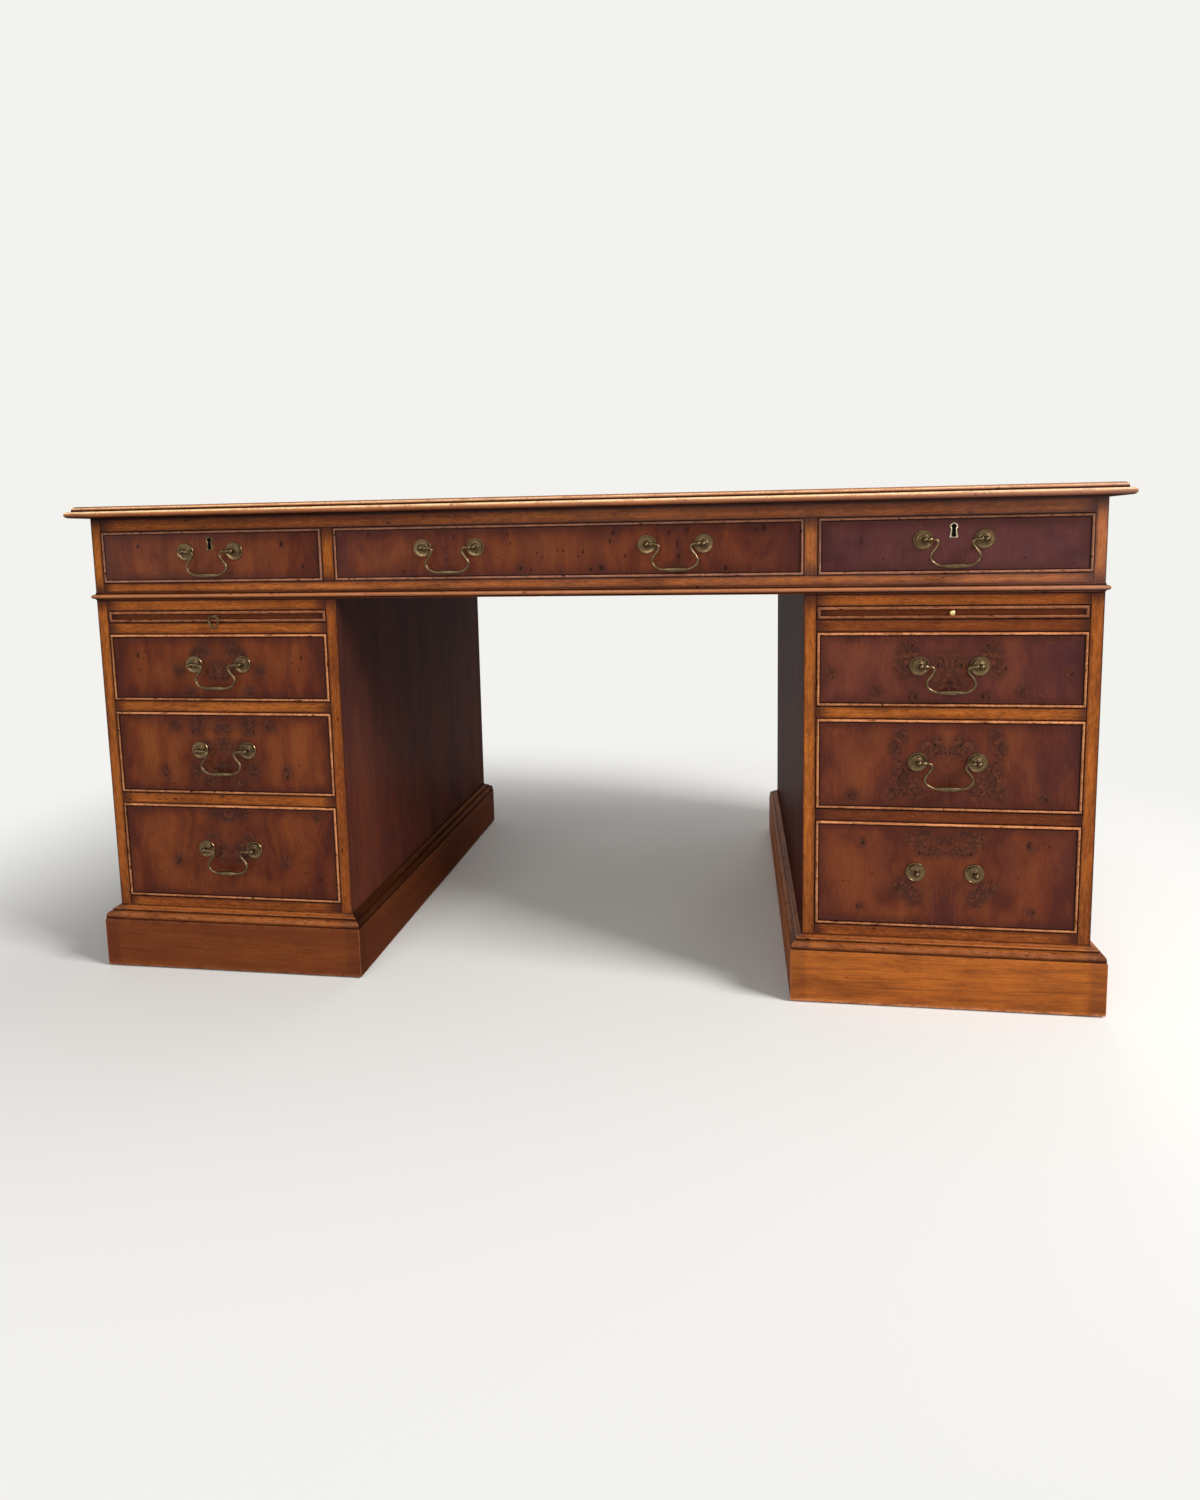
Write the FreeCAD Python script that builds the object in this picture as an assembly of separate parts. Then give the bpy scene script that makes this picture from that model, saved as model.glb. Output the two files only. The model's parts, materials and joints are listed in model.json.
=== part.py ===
"""Partners desk: three frieze drawers over two pedestals of a slide and three drawers each.

The desk is built in the usual three lifts. A leather-lined top is screwed to a frieze of three
drawers, which stands by its own weight on two pedestals, each on a moulded plinth. The working
side (-Y) has drawers. The far side (+Y) has false drawer fronts over two cupboards.

Millimetres, +Z up, origin on the floor under the middle of the desk, +X to the sitter's right.
"""
import FreeCAD, Part
import math
import os

Vector = FreeCAD.Vector

# ---------------------------------------------------------------- overall case
case_width = 1551.6            # over the end boards
case_depth = 755.5             # front face to rear face
kneehole_width = 723.4         # between the pedestals
joint_gap = 0.8                # shadow gap round every drawer front, slide and door
runner_gap = 0.3               # play under and over a sliding box

# ---------------------------------------------------------------- heights of one pedestal
glide_height = 2.5
skirting_height = 80.5         # from the glides to the ledge that carries the pedestal
plinth_moulding_height = 19.6
bottom_rail_height = 35.3      # its lower part stands behind the plinth moulding
rail_height = 18.0
lower_drawer_height = 160.3
middle_drawer_height = 136.0
upper_drawer_height = 109.0
slide_height = 18.3

# ---------------------------------------------------------------- heights of the frieze and top
base_bead_height = 12.7
base_bead_reach = 5.5          # its crown beyond the case
base_bead_crown = 8.4          # height of the crown
base_bead_lip = 0.8            # its sharp lower edge beyond the case
frieze_bottom_rail_height = 14.4
frieze_drawer_height = 82.0
frieze_top_rail_height = 22.5
top_thickness = 18.0

# ---------------------------------------------------------------- boards
stile_width = 18.5             # pedestal end boards and the stiles on their edges
stile_depth = 22.0
rail_depth = 60.0
frieze_end_width = 16.5        # frieze end boards and their stiles
divider_width = 19.5           # between two frieze drawers
runner_width = 20.0
partition_thickness = 12.0
box_rear_space = 18.0          # from the longest drawer or slide to the partition
pedestal_bottom_thickness = 12.0
pedestal_top_thickness = 9.0
dust_board_thickness = 6.0

# ---------------------------------------------------------------- plinth
plinth_projection = 18.2
skirting_thickness = 24.5
corner_block_size = 42.0
corner_block_height = 60.0
glide_radius = 11.0
plinth_arris = 1.5
moulding_setback = 1.2         # ledge in front of the plinth moulding
ovolo_radius = 7.6
ovolo_start = 4.0
fillet_top = 14.7
moulding_tip = 0.4             # edge left at the top of the cove

# ---------------------------------------------------------------- top
top_overhang = 26.0
top_edge_width = 60.0          # moulded edging inside the line of the case
leather_margin = 12.0
leather_band = 50.0            # wood between two leathers
leather_thickness = 1.3
leather_recess = 1.5
nose_radius = 5.0              # lower roll of the moulded edge
quirk_setback = 7.8            # from the tip of the nose to the quirk
quirk_rise = 2.4

# ---------------------------------------------------------------- drawers
front_thickness = 20.0
bead_width = 3.0
bead_depth = 6.0               # how far a cock bead is let into the front
bead_proud = 1.8
side_thickness = 9.5
back_thickness = 8.0
bottom_thickness = 5.0
bottom_rise = 14.0             # under the drawer bottom, whose groove runs through a tail
groove_depth = 4.0
side_drop = 4.0                # sides stop this far below the top of the front
tail_length = 12.0
tail_splay = 2.5               # a tail widens by this much on each edge
tail_root = 17.0
tail_margin = 11.0             # from the edge of the side to the first tail
tail_spacing_most = 50.0
pedestal_drawer_length = 420.0
frieze_drawer_length = 460.0


# ---------------------------------------------------------------- writing slides
slide_length = 400.0
slide_board_thickness = 14.0
slide_face_recess = 1.0
slide_board_drop = 1.0         # board's top under the top of the lip
slide_board_play = 0.5         # at each side of the board

# ---------------------------------------------------------------- swan-neck handles
post_spacing = 84.0
centre_handle_place = 174.0    # middle of a handle from the middle of the wide drawer
handle_rise_frieze = 7.5       # pivot above the middle of its drawer front
handle_rise = 5.5
rosette_radius = 14.25
rosette_thickness = 2.6
rosette_bevel = 1.6
rosette_rim = 4.6
rosette_dish = 1.2
rosette_sides = 10
post_sides = 6
stem_radius = 2.6
ball_radius = 4.3
pivot_standoff = 11.5          # pivot line in front of the drawer
pin_radius = 1.5               # bail wire and its pins
pin_clearance = 0.06
pin_bite = 1.5                 # pin past the middle of its ball
pin_end_gap = 0.5              # in the hole past the end of the pin
wire_sides = 5
neck_half_width = 23.4
neck_radius = 4.0
swan_radius = 8.0
swan_angle = 50.0
bail_half_width = 33.75
bail_corner_radius = 11.3
grip_half_length = 15.0
grip_radius = 3.25

# ---------------------------------------------------------------- slide pulls
knob_radius = 4.8
knob_standoff = 9.5
knob_stem_radius = 2.2
ring_ball_radius = 3.4
ring_standoff = 6.5
ring_wire_radius = 1.1
ring_half_width = 8.5
ring_drop = 18.0
ring_pin_gap = 0.4

# ---------------------------------------------------------------- locks of the side frieze drawers
escutcheon_width = 11.7
escutcheon_height = 21.5
escutcheon_rim = 2.6            # brass round the head of the keyhole
escutcheon_thickness = 2.0
escutcheon_proud = 0.3
escutcheon_bow = 0.6             # its foot bows down by this much
escutcheon_skirt = 2.2           # height of the widest place above the foot
keyway_play = 0.3                # the hole in the wood beyond the hole in the plate
keyhole_radius = 2.2
keyhole_slot = 2.0
keyhole_drop = 9.5
lock_width = 56.0
lock_height = 36.0
lock_depth = 9.0
bolt_width = 18.0
bolt_depth = 5.0
bolt_height = 16.0
bolt_play = 0.2
bolt_throw = 6.5
mortise_play = 0.8              # round the bolt in the rail above it
mortise_spare = 2.0             # past the end of its throw
keyhole_below_top = 14.5       # middle of the key pin under the top of the front

# ---------------------------------------------------------------- cupboards behind the pedestals
door_thickness = 19.0
door_stile_width = 55.0
door_panel_thickness = 12.0
door_panel_field = 26.0        # width of the bevel round the raised field
door_panel_edge = 5.0
door_panel_tongue = 7.0
shelf_thickness = 15.0
shelf_place = 235.0            # above the cupboard floor
shelf_setback = 8.0
cleat_size = 16.0
hinge_length = 62.0
hinge_leaf = 1.2
hinge_leaf_depth = 17.0
hinge_knuckle_radius = 2.7
hinge_pin_radius = 1.3
hinge_sides = 8
hinge_pin_clearance = 0.05
hinge_face_gap = 0.25
hinge_axial_gap = 0.3
hinge_place = 70.0             # end of a hinge from the end of its door
door_knob_radius = 9.0
door_knob_length = 18.0
door_knob_rise = 30.0

# ---------------------------------------------------------------- lines worked out from the above
half_width = case_width / 2
half_depth = case_depth / 2
half_kneehole = kneehole_width / 2
front_face = -half_depth
rear_face = half_depth
plinth_top = glide_height + skirting_height
pedestal_width = half_width - half_kneehole
pedestal_centre = (half_width + half_kneehole) / 2

lower_rail_top = plinth_top + bottom_rail_height
lower_drawer_bottom = lower_rail_top + joint_gap
second_rail_bottom = lower_drawer_bottom + lower_drawer_height + joint_gap
middle_drawer_bottom = second_rail_bottom + rail_height + joint_gap
third_rail_bottom = middle_drawer_bottom + middle_drawer_height + joint_gap
upper_drawer_bottom = third_rail_bottom + rail_height + joint_gap
slide_rail_bottom = upper_drawer_bottom + upper_drawer_height + joint_gap
slide_bottom = slide_rail_bottom + rail_height + joint_gap
top_rail_bottom = slide_bottom + slide_height + joint_gap
pedestal_top = top_rail_bottom + rail_height

frieze_bottom = pedestal_top + base_bead_height
frieze_rail_top = frieze_bottom + frieze_bottom_rail_height
frieze_drawer_bottom = frieze_rail_top + joint_gap
frieze_drawer_top = frieze_drawer_bottom + frieze_drawer_height
frieze_top_rail_bottom = frieze_drawer_top + joint_gap
case_top = frieze_top_rail_bottom + frieze_top_rail_height
desk_top = case_top + top_thickness

divider_inner = half_kneehole
divider_outer = divider_inner + divider_width
divider_middle = (divider_inner + divider_outer) / 2
frieze_end_inner = half_width - frieze_end_width
side_frieze_centre = (divider_outer + frieze_end_inner) / 2
side_frieze_width = frieze_end_inner - divider_outer - 2 * joint_gap
centre_frieze_width = 2 * (divider_inner - joint_gap)
pedestal_drawer_width = pedestal_width - 2 * stile_width - 2 * joint_gap
pivot_line = front_face - pivot_standoff
partition_place = front_face + max(pedestal_drawer_length, slide_length) + box_rear_space
SIDES = (("left", -1), ("right", 1))


# ---------------------------------------------------------------- shared shapes
def block(x0, x1, y0, y1, z0, z1):
    """Rectangular board between two corners, given in any order along x."""
    low, high = min(x0, x1), max(x0, x1)
    return Part.makeBox(high - low, y1 - y0, z1 - z0, Vector(low, y0, z0))


def prism(points, direction):
    """Polygon pushed along a direction."""
    outline = Part.makePolygon(points + points[:1])
    return Part.Face(outline).extrude(direction)


def mitred_ring(half_x, half_y, inner, outer, profile, height):
    """Four mitred strips round a rectangle: profile is a face of (offset, 0, z) points."""
    strips = []
    for angle, run, reach in ((0, half_y, half_x), (90, half_x, half_y),
                              (180, half_y, half_x), (270, half_x, half_y)):
        long_side = run + outer
        short_side = run - inner
        strip = profile.copy()
        strip.translate(Vector(0, -long_side, 0))
        strip = strip.extrude(Vector(0, 2 * long_side, 0))
        mitre = prism([Vector(-inner, -short_side, 0), Vector(outer, -long_side, 0),
                       Vector(outer, long_side, 0), Vector(-inner, short_side, 0)],
                      Vector(0, 0, height))
        strip = strip.common(mitre).Solids[0]
        strip.translate(Vector(reach, 0, 0))
        strip.rotate(Vector(0, 0, 0), Vector(0, 0, 1), angle)
        strips.append(strip)
    return strips


def mitred_bars(half_x, half_y, profile):
    """Four mitred bars round a rectangle: profile lists the corners (offset, z) of a polygon."""
    ends = []
    for x_way, y_way in ((-1, -1), (1, -1), (1, 1), (-1, 1)):
        ends.append([Vector(x_way * (half_x + offset), y_way * (half_y + offset), z)
                     for offset, z in profile])
    return [skin([ends[i - 1], ends[i]]) for i in range(len(ends))]


def outline_face(edges):
    """Face in the XZ plane from lists of two points, a line, or three points, an arc."""
    made = []
    for points in edges:
        corners = [Vector(x, 0, z) for x, z in points]
        if len(corners) == 2:
            made.append(Part.LineSegment(*corners).toShape())
        else:
            made.append(Part.Arc(*corners).toShape())
    return Part.Face(Part.Wire(made))


def prism_face(points):
    """Flat face with straight edges from (x, z) points in the XZ plane."""
    corners = [Vector(x, 0, z) for x, z in points]
    return Part.Face(Part.makePolygon(corners + corners[:1]))


def polar(centre, radius, degrees):
    """Point at an angle on a circle, as (x, z)."""
    turn = math.radians(degrees)
    return (centre[0] + radius * math.cos(turn), centre[1] + radius * math.sin(turn))


def skin(rings):
    """Closed solid through rings of points, with flat faces between neighbours."""
    count = len(rings[0])
    faces = [Part.Face(Part.makePolygon(rings[0] + rings[0][:1])),
             Part.Face(Part.makePolygon(rings[-1] + rings[-1][:1]))]
    for near, far in zip(rings, rings[1:]):
        for i in range(count):
            j = (i + 1) % count
            faces.append(Part.Face(Part.makePolygon([near[i], near[j], far[j], far[i], near[i]])))
    solid = Part.makeSolid(Part.makeShell(faces))
    if solid.Volume < 0:
        solid.reverse()
    return solid


def turned(centre, axis, profile, sides):
    """Turning with flat sides: profile lists (distance along the axis, radius)."""
    across = Vector(0, 0, 1) if abs(axis.z) < 0.5 else Vector(1, 0, 0)
    third = axis.cross(across)
    rings = []
    for distance, radius in profile:
        ring = []
        for i in range(sides):
            turn = math.pi * (2 * i + 1) / sides
            ring.append(centre + axis * distance
                        + across * (radius * math.cos(turn)) + third * (radius * math.sin(turn)))
        rings.append(ring)
    return skin(rings)


def rod(path, sides):
    """Bent rod in the XZ plane: path lists (x, z, radius), mitred at every bend."""
    out = Vector(0, 1, 0)
    points = [Vector(x, 0, z) for x, z, _ in path]
    rings = []
    for i, (x, z, radius) in enumerate(path):
        before = points[i] - points[max(i - 1, 0)]
        after = points[min(i + 1, len(points) - 1)] - points[i]
        if before.Length == 0:
            before = after
        if after.Length == 0:
            after = before
        before.normalize()
        after.normalize()
        along = before + after
        along.normalize()
        across = along.cross(out)
        stretch = 1 / along.dot(after)
        ring = []
        for k in range(sides):
            turn = math.pi * (2 * k + 1) / sides
            ring.append(points[i] + across * (radius * stretch * math.cos(turn))
                        + out * (radius * math.sin(turn)))
        rings.append(ring)
    return skin(rings)


# ---------------------------------------------------------------- top
def top_edge_profile():
    """Thumb mould: a round nose, a quirk and a quarter round up to the top."""
    nose = nose_radius
    quarter = top_thickness - 2 * nose - quirk_rise
    nose_centre = top_overhang - nose
    shoulder = top_overhang - quirk_setback
    return outline_face([
        [(-top_edge_width, 0), (nose_centre, 0)],
        [(nose_centre, 0), (top_overhang, nose), (nose_centre, 2 * nose)],
        [(nose_centre, 2 * nose), (shoulder, 2 * nose)],
        [(shoulder, 2 * nose), (shoulder, 2 * nose + quirk_rise)],
        [(shoulder, 2 * nose + quirk_rise),
         polar((shoulder - quarter, 2 * nose + quirk_rise), quarter, 45),
         (shoulder - quarter, top_thickness)],
        [(shoulder - quarter, top_thickness), (-top_edge_width, top_thickness)],
        [(-top_edge_width, top_thickness), (-top_edge_width, 0)],
    ])


def leather_spans():
    """x limits of the three leathers."""
    end = half_width - top_edge_width - leather_margin
    inner = divider_middle - leather_band / 2
    outer = divider_middle + leather_band / 2
    return [(-end, -outer), (-inner, inner), (outer, end)]


def make_top():
    edging = mitred_ring(half_width, half_depth, top_edge_width, top_overhang,
                         top_edge_profile(), top_thickness)
    for strip in edging:
        strip.translate(Vector(0, 0, case_top))
    core_x = half_width - top_edge_width
    core_y = half_depth - top_edge_width
    leather_y = core_y - leather_margin
    core = block(-core_x, core_x, -core_y, core_y, case_top, desk_top)
    floor = desk_top - leather_recess
    leathers = []
    for x0, x1 in leather_spans():
        core = core.cut(block(x0, x1, -leather_y, leather_y, floor, desk_top))
        leathers.append(block(x0, x1, -leather_y, leather_y, floor, floor + leather_thickness))
    return {"top_panel": [core], "top_edge_mouldings": edging, "writing_leathers": leathers}


# ---------------------------------------------------------------- frieze
def base_bead_profile():
    """Half-round bead on the front of a deep strip."""
    reach = base_bead_reach
    crown = base_bead_crown
    lip = base_bead_lip
    shoulder = 2 * lip
    return outline_face([
        [(-rail_depth, 0), (lip, 0)],
        [(lip, 0), (reach * 0.73, crown * 0.43), (reach, crown)],
        [(reach, crown), (reach * 0.82, base_bead_height * 0.9), (shoulder, base_bead_height)],
        [(shoulder, base_bead_height), (-rail_depth, base_bead_height)],
        [(-rail_depth, base_bead_height), (-rail_depth, 0)],
    ])


def bolt_mortise(x):
    """Hole in the frieze top rail that a lock bolt rises into."""
    middle = lock_middle()
    half_x = bolt_width / 2 + mortise_play
    half_y = bolt_depth / 2 + mortise_play
    return block(x - half_x, x + half_x, middle - half_y, middle + half_y,
                 frieze_top_rail_bottom, frieze_top_rail_bottom + bolt_throw + mortise_spare)


def make_frieze():
    frame = []
    inner = frieze_end_inner
    for side in (-1, 1):
        frame.append(block(side * inner, side * half_width, front_face + stile_depth,
                           rear_face - stile_depth, frieze_bottom, case_top))
    for y0, y1, stile_y0, stile_y1 in (
            (front_face, front_face + rail_depth, front_face, front_face + stile_depth),
            (rear_face - rail_depth, rear_face, rear_face - stile_depth, rear_face)):
        for side in (-1, 1):
            frame.append(block(side * inner, side * half_width, stile_y0, stile_y1,
                               frieze_bottom, case_top))
            frame.append(block(side * divider_inner, side * divider_outer, stile_y0, stile_y1,
                               frieze_rail_top, frieze_top_rail_bottom))
        frame.append(block(-inner, inner, y0, y1, frieze_bottom, frieze_rail_top))
        top_rail = block(-inner, inner, y0, y1, frieze_top_rail_bottom, case_top)
        if y0 == front_face:
            for side in (-1, 1):
                top_rail = top_rail.cut(bolt_mortise(side * side_frieze_centre))
        frame.append(top_rail)

    bead = mitred_ring(half_width, half_depth, rail_depth, base_bead_reach,
                       base_bead_profile(), base_bead_height)
    for strip in bead:
        strip.translate(Vector(0, 0, pedestal_top))

    back = rear_face - rail_depth
    front = front_face + rail_depth
    runners = [block(-inner, inner, front, back, frieze_bottom,
                     frieze_bottom + dust_board_thickness)]
    for side in (-1, 1):
        runners.append(block(side * divider_inner, side * divider_outer,
                             front_face + stile_depth, rear_face - stile_depth,
                             frieze_rail_top, frieze_top_rail_bottom))
        for x0, x1 in ((divider_outer, divider_outer + runner_width),
                       (inner - runner_width, inner),
                       (divider_inner - runner_width, divider_inner)):
            runners.append(block(side * x0, side * x1, front, back,
                                 frieze_bottom + dust_board_thickness, frieze_rail_top))
            runners.append(block(side * x0, side * x1, front, back,
                                 frieze_top_rail_bottom, case_top))
    return {"frieze_frame": frame, "frieze_base_bead": bead, "frieze_runners": runners}


# ---------------------------------------------------------------- pedestals
def hinge_bottoms():
    """Heights of the lower ends of the two hinges of a door."""
    low = lower_rail_top + joint_gap + hinge_place
    high = top_rail_bottom - joint_gap - hinge_place - hinge_length
    return (low, high)


def make_pedestal(side):
    outer = side * half_width
    inner = side * half_kneehole
    outer_in = side * (half_width - stile_width)
    inner_in = side * (half_kneehole + stile_width)
    front = front_face + rail_depth
    back = rear_face - rail_depth
    case = []
    for x0, x1 in ((outer, outer_in), (inner, inner_in)):
        case.append(block(x0, x1, front_face + stile_depth, rear_face - stile_depth,
                          plinth_top, pedestal_top))
    case.append(block(inner_in, outer_in, front, back,
                      lower_rail_top - pedestal_bottom_thickness, lower_rail_top))
    case.append(block(inner_in, outer_in, front, back,
                      pedestal_top - pedestal_top_thickness, pedestal_top))
    case.append(block(inner_in, outer_in, partition_place, partition_place + partition_thickness,
                      lower_rail_top, pedestal_top - pedestal_top_thickness))

    frame = []
    for y0, y1 in ((front_face, front_face + stile_depth), (rear_face - stile_depth, rear_face)):
        for x0, x1 in ((outer, outer_in), (inner, inner_in)):
            stile = block(x0, x1, y0, y1, plinth_top, pedestal_top)
            if x0 == outer and y1 == rear_face:
                for z in hinge_bottoms():
                    stile = stile.cut(block(outer_in, outer_in + side * hinge_leaf,
                                            rear_face - hinge_leaf_depth, rear_face,
                                            z, z + hinge_length))
            frame.append(stile)
    rails = [(plinth_top, lower_rail_top), (second_rail_bottom, middle_drawer_bottom - joint_gap),
             (third_rail_bottom, upper_drawer_bottom - joint_gap),
             (slide_rail_bottom, slide_bottom - joint_gap), (top_rail_bottom, pedestal_top)]
    for z0, z1 in rails:
        frame.append(block(inner_in, outer_in, front_face, front, z0, z1))
    for z0, z1 in (rails[0], rails[-1]):
        frame.append(block(inner_in, outer_in, back, rear_face, z0, z1))

    runners = []
    for x0, x1 in ((inner_in, inner_in + side * runner_width),
                   (outer_in - side * runner_width, outer_in)):
        for z0, z1 in rails[1:-1]:
            runners.append(block(x0, x1, front, partition_place, z0, z1))
        runners.append(block(x0, x1, front, partition_place, top_rail_bottom,
                             pedestal_top - pedestal_top_thickness))
    return case, frame, runners


def plinth_moulding_profile():
    """Ovolo, fillet and shallow cove from the ledge of the plinth to the case."""
    foot = plinth_projection - moulding_setback
    roll = ovolo_radius
    cove_foot = foot - roll
    tip = moulding_tip
    return outline_face([
        [(0, 0), (foot, 0)],
        [(foot, 0), (foot, ovolo_start)],
        [(foot, ovolo_start), polar((cove_foot, ovolo_start), roll, 45),
         (cove_foot, ovolo_start + roll)],
        [(cove_foot, ovolo_start + roll), (cove_foot, fillet_top)],
        [(cove_foot, fillet_top), (cove_foot * 0.42, plinth_moulding_height * 0.87),
         (tip, plinth_moulding_height)],
        [(tip, plinth_moulding_height), (0, plinth_moulding_height)],
        [(0, plinth_moulding_height), (0, 0)],
    ])


def make_plinth(side):
    half_x = pedestal_width / 2
    centre = side * pedestal_centre
    inner = skirting_thickness - plinth_projection
    edge = plinth_projection
    skirting = mitred_bars(half_x, half_depth, [
        (-inner, glide_height), (edge, glide_height), (edge, plinth_top - plinth_arris),
        (edge - plinth_arris, plinth_top), (-inner, plinth_top)])
    moulding = mitred_ring(half_x, half_depth, 0, plinth_projection, plinth_moulding_profile(),
                           plinth_moulding_height)
    for strip in skirting:
        strip.translate(Vector(centre, 0, 0))
    for strip in moulding:
        strip.translate(Vector(centre, 0, plinth_top))
    blocks = []
    glides = []
    for x_way in (-1, 1):
        for y_way in (-1, 1):
            corner = Vector(centre + x_way * (half_x - inner), y_way * (half_depth - inner),
                            plinth_top - corner_block_height)
            blocks.append(prism([corner, corner - Vector(x_way * corner_block_size, 0, 0),
                                 corner - Vector(0, y_way * corner_block_size, 0)],
                                Vector(0, 0, corner_block_height)))
            middle = plinth_projection - skirting_thickness / 2
            foot = Vector(centre + x_way * (half_x + middle), y_way * (half_depth + middle), 0)
            glides.append(turned(foot, Vector(0, 0, 1),
                                 [(0, glide_radius), (glide_height, glide_radius)], 8))
    return skirting + blocks, moulding, glides


# ---------------------------------------------------------------- drawer boxes
def cock_beads(width, height, recess=0.0):
    """Four mitred beads with eased noses, standing on the XZ plane and facing -Y."""
    nose = bead_width * 0.3
    top = bead_depth + bead_proud
    strips = mitred_bars(width / 2, height / 2, [
        (-bead_width, 0), (0, 0), (0, top - nose), (-nose, top),
        (nose - bead_width, top), (-bead_width, top - nose)])
    for strip in strips:
        strip.rotate(Vector(0, 0, 0), Vector(1, 0, 0), 90)
        strip.translate(Vector(0, bead_depth + recess, 0))
    return strips


def rebated_front(width, height, thickness, recess=0.0):
    """Drawer front on the XZ plane, rebated all round for its beads."""
    board = block(-width / 2, width / 2, bead_depth + recess, thickness, -height / 2, height / 2)
    field = block(-width / 2 + bead_width, width / 2 - bead_width, recess, bead_depth + recess,
                  -height / 2 + bead_width, height / 2 - bead_width)
    return board.fuse(field).removeSplitter()


def tail_centres(low, high):
    """Heights of the dovetails along a drawer side."""
    run = high - low - 2 * tail_margin - tail_root
    count = max(2, math.ceil(run / tail_spacing_most) + 1)
    return [low + tail_margin + tail_root / 2 + run * i / (count - 1) for i in range(count)]


def dovetail(x0, x1, z):
    """Tail that runs forward into the back of a drawer front."""
    root = tail_root / 2
    tip = root + tail_splay
    back = front_thickness
    return prism([Vector(x0, back, z - root), Vector(x0, back, z + root),
                  Vector(x0, back - tail_length, z + tip), Vector(x0, back - tail_length, z - tip)],
                 Vector(x1 - x0, 0, 0))


def drawer_box(width, height, length):
    """Front, beads and dovetailed box of a drawer, its front's middle at the origin."""
    low = -height / 2 + runner_gap - joint_gap
    high = height / 2 - side_drop
    front = rebated_front(width, height, front_thickness)
    sides = []
    panel_low = low + bottom_rise
    panel_high = panel_low + bottom_thickness
    inner = width / 2 - side_thickness
    panel = block(-inner - groove_depth, inner + groove_depth, front_thickness - groove_depth,
                  length, panel_low, panel_high)
    for way in (-1, 1):
        outer_x = way * width / 2
        inner_x = way * inner
        board = block(inner_x, outer_x, front_thickness, length, low, high)
        for z in tail_centres(low, high):
            tail = dovetail(inner_x, outer_x, z)
            board = board.fuse(tail)
            front = front.cut(tail)
        sides.append(board.cut(panel).removeSplitter())
    front = front.cut(panel)
    back = block(-inner, inner, length - back_thickness, length, panel_high, high)
    return [front] + sides + [back, panel] + cock_beads(width, height)


def keyhole(y0, y1, centre_z, grow=0.0):
    """Round head with a slot under it, pushed from y0 to y1."""
    radius = keyhole_radius + grow
    half = keyhole_slot / 2 + grow
    foot = -keyhole_drop - grow
    head = [polar((0, 0), radius, a) for a in (-54, -18, 18, 54, 90, 126, 162, 198, 234)]
    face = prism_face([(-half, foot), (half, foot)] + head)
    face.translate(Vector(0, y0, centre_z))
    return face.extrude(Vector(0, y1 - y0, 0))


def lock_middle():
    """y of the middle of a lock bolt."""
    return front_face + front_thickness - lock_depth / 2


def escutcheon_plate():
    """Keyhole-shaped plate: round head, waisted skirt and bowed foot."""
    head = keyhole_radius + escutcheon_rim
    foot = escutcheon_width / 2
    low = head - escutcheon_height
    centre_z = frieze_drawer_height / 2 - keyhole_below_top
    half = [(0, low), (foot * 0.7, low + escutcheon_bow), (foot, low + escutcheon_skirt)]
    half += [polar((0, 0), head, a) for a in (-35, 0, 30, 60)]
    face = prism_face(half + [(0, head)] + [(-x, z) for x, z in reversed(half[1:])])
    face.translate(Vector(0, -escutcheon_proud, centre_z))
    return face.extrude(Vector(0, escutcheon_thickness, 0))


def fit_lock(front):
    """Cuts a drawer front for its lock and returns it with the escutcheon, case and bolt."""
    top = frieze_drawer_height / 2
    centre_z = top - keyhole_below_top
    back = front_thickness
    pocket = block(-lock_width / 2, lock_width / 2, back - lock_depth, back, top - lock_height, top)
    plate = escutcheon_plate()
    front = front.cut(pocket).cut(plate).cut(keyhole(0, back, centre_z, keyway_play))
    plate = plate.cut(keyhole(-escutcheon_thickness, escutcheon_thickness, centre_z))
    middle = back - lock_depth / 2
    rest = top - joint_gap / 2
    well = block(-bolt_width / 2 - bolt_play, bolt_width / 2 + bolt_play,
                 middle - bolt_depth / 2 - bolt_play, middle + bolt_depth / 2 + bolt_play,
                 rest - bolt_height - bolt_play, top)
    case = pocket.cut(well)
    bolt = block(-bolt_width / 2, bolt_width / 2, middle - bolt_depth / 2,
                 middle + bolt_depth / 2, rest - bolt_height, rest)
    return front, [plate, case], bolt


# ---------------------------------------------------------------- handles
def bail_path():
    """Half of a swan-neck bail from its pin to the middle of the grip, as (x, z, radius)."""
    corner = (bail_half_width - bail_corner_radius, 0)
    neck = (neck_half_width + neck_radius, -neck_radius)
    swan = (neck_half_width + swan_radius, -neck_radius)
    turn = math.radians(swan_angle)
    start_x = neck_half_width + swan_radius * (1 - math.cos(turn))
    start_z = -neck_radius - swan_radius * math.sin(turn)
    sweep_radius = (bail_half_width - start_x) / (1 - math.cos(turn))
    sweep = (bail_half_width - sweep_radius, start_z - sweep_radius * math.sin(turn))
    corner = (corner[0], sweep[1])
    bottom = corner[1] - bail_corner_radius
    points = [(post_spacing / 2 + pin_bite, 0)]
    points += [polar(neck, neck_radius, a) for a in (90, 180)]
    points += [polar(swan, swan_radius, 180 + swan_angle)]
    points += [polar(sweep, sweep_radius, a) for a in (swan_angle / 2, 0)]
    points += [polar(corner, bail_corner_radius, a) for a in (-45, -90)]
    path = [(x, z, pin_radius) for x, z in points]
    path.append((grip_half_length, bottom, pin_radius))
    path.append((0, bottom, grip_radius))
    return path


def pin_hole(start, axis, length, radius):
    """Hole for a bail's pin: its flats stand clear of the pin by the running clearance."""
    corner = (radius + pin_clearance) / math.cos(math.pi / wire_sides)
    return turned(start, axis, [(0, corner), (length, corner)], wire_sides)


def swan_neck_bail():
    half = bail_path()
    other = [(-x, z, radius) for x, z, radius in reversed(half[:-1])]
    return rod(half + other, wire_sides)


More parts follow.
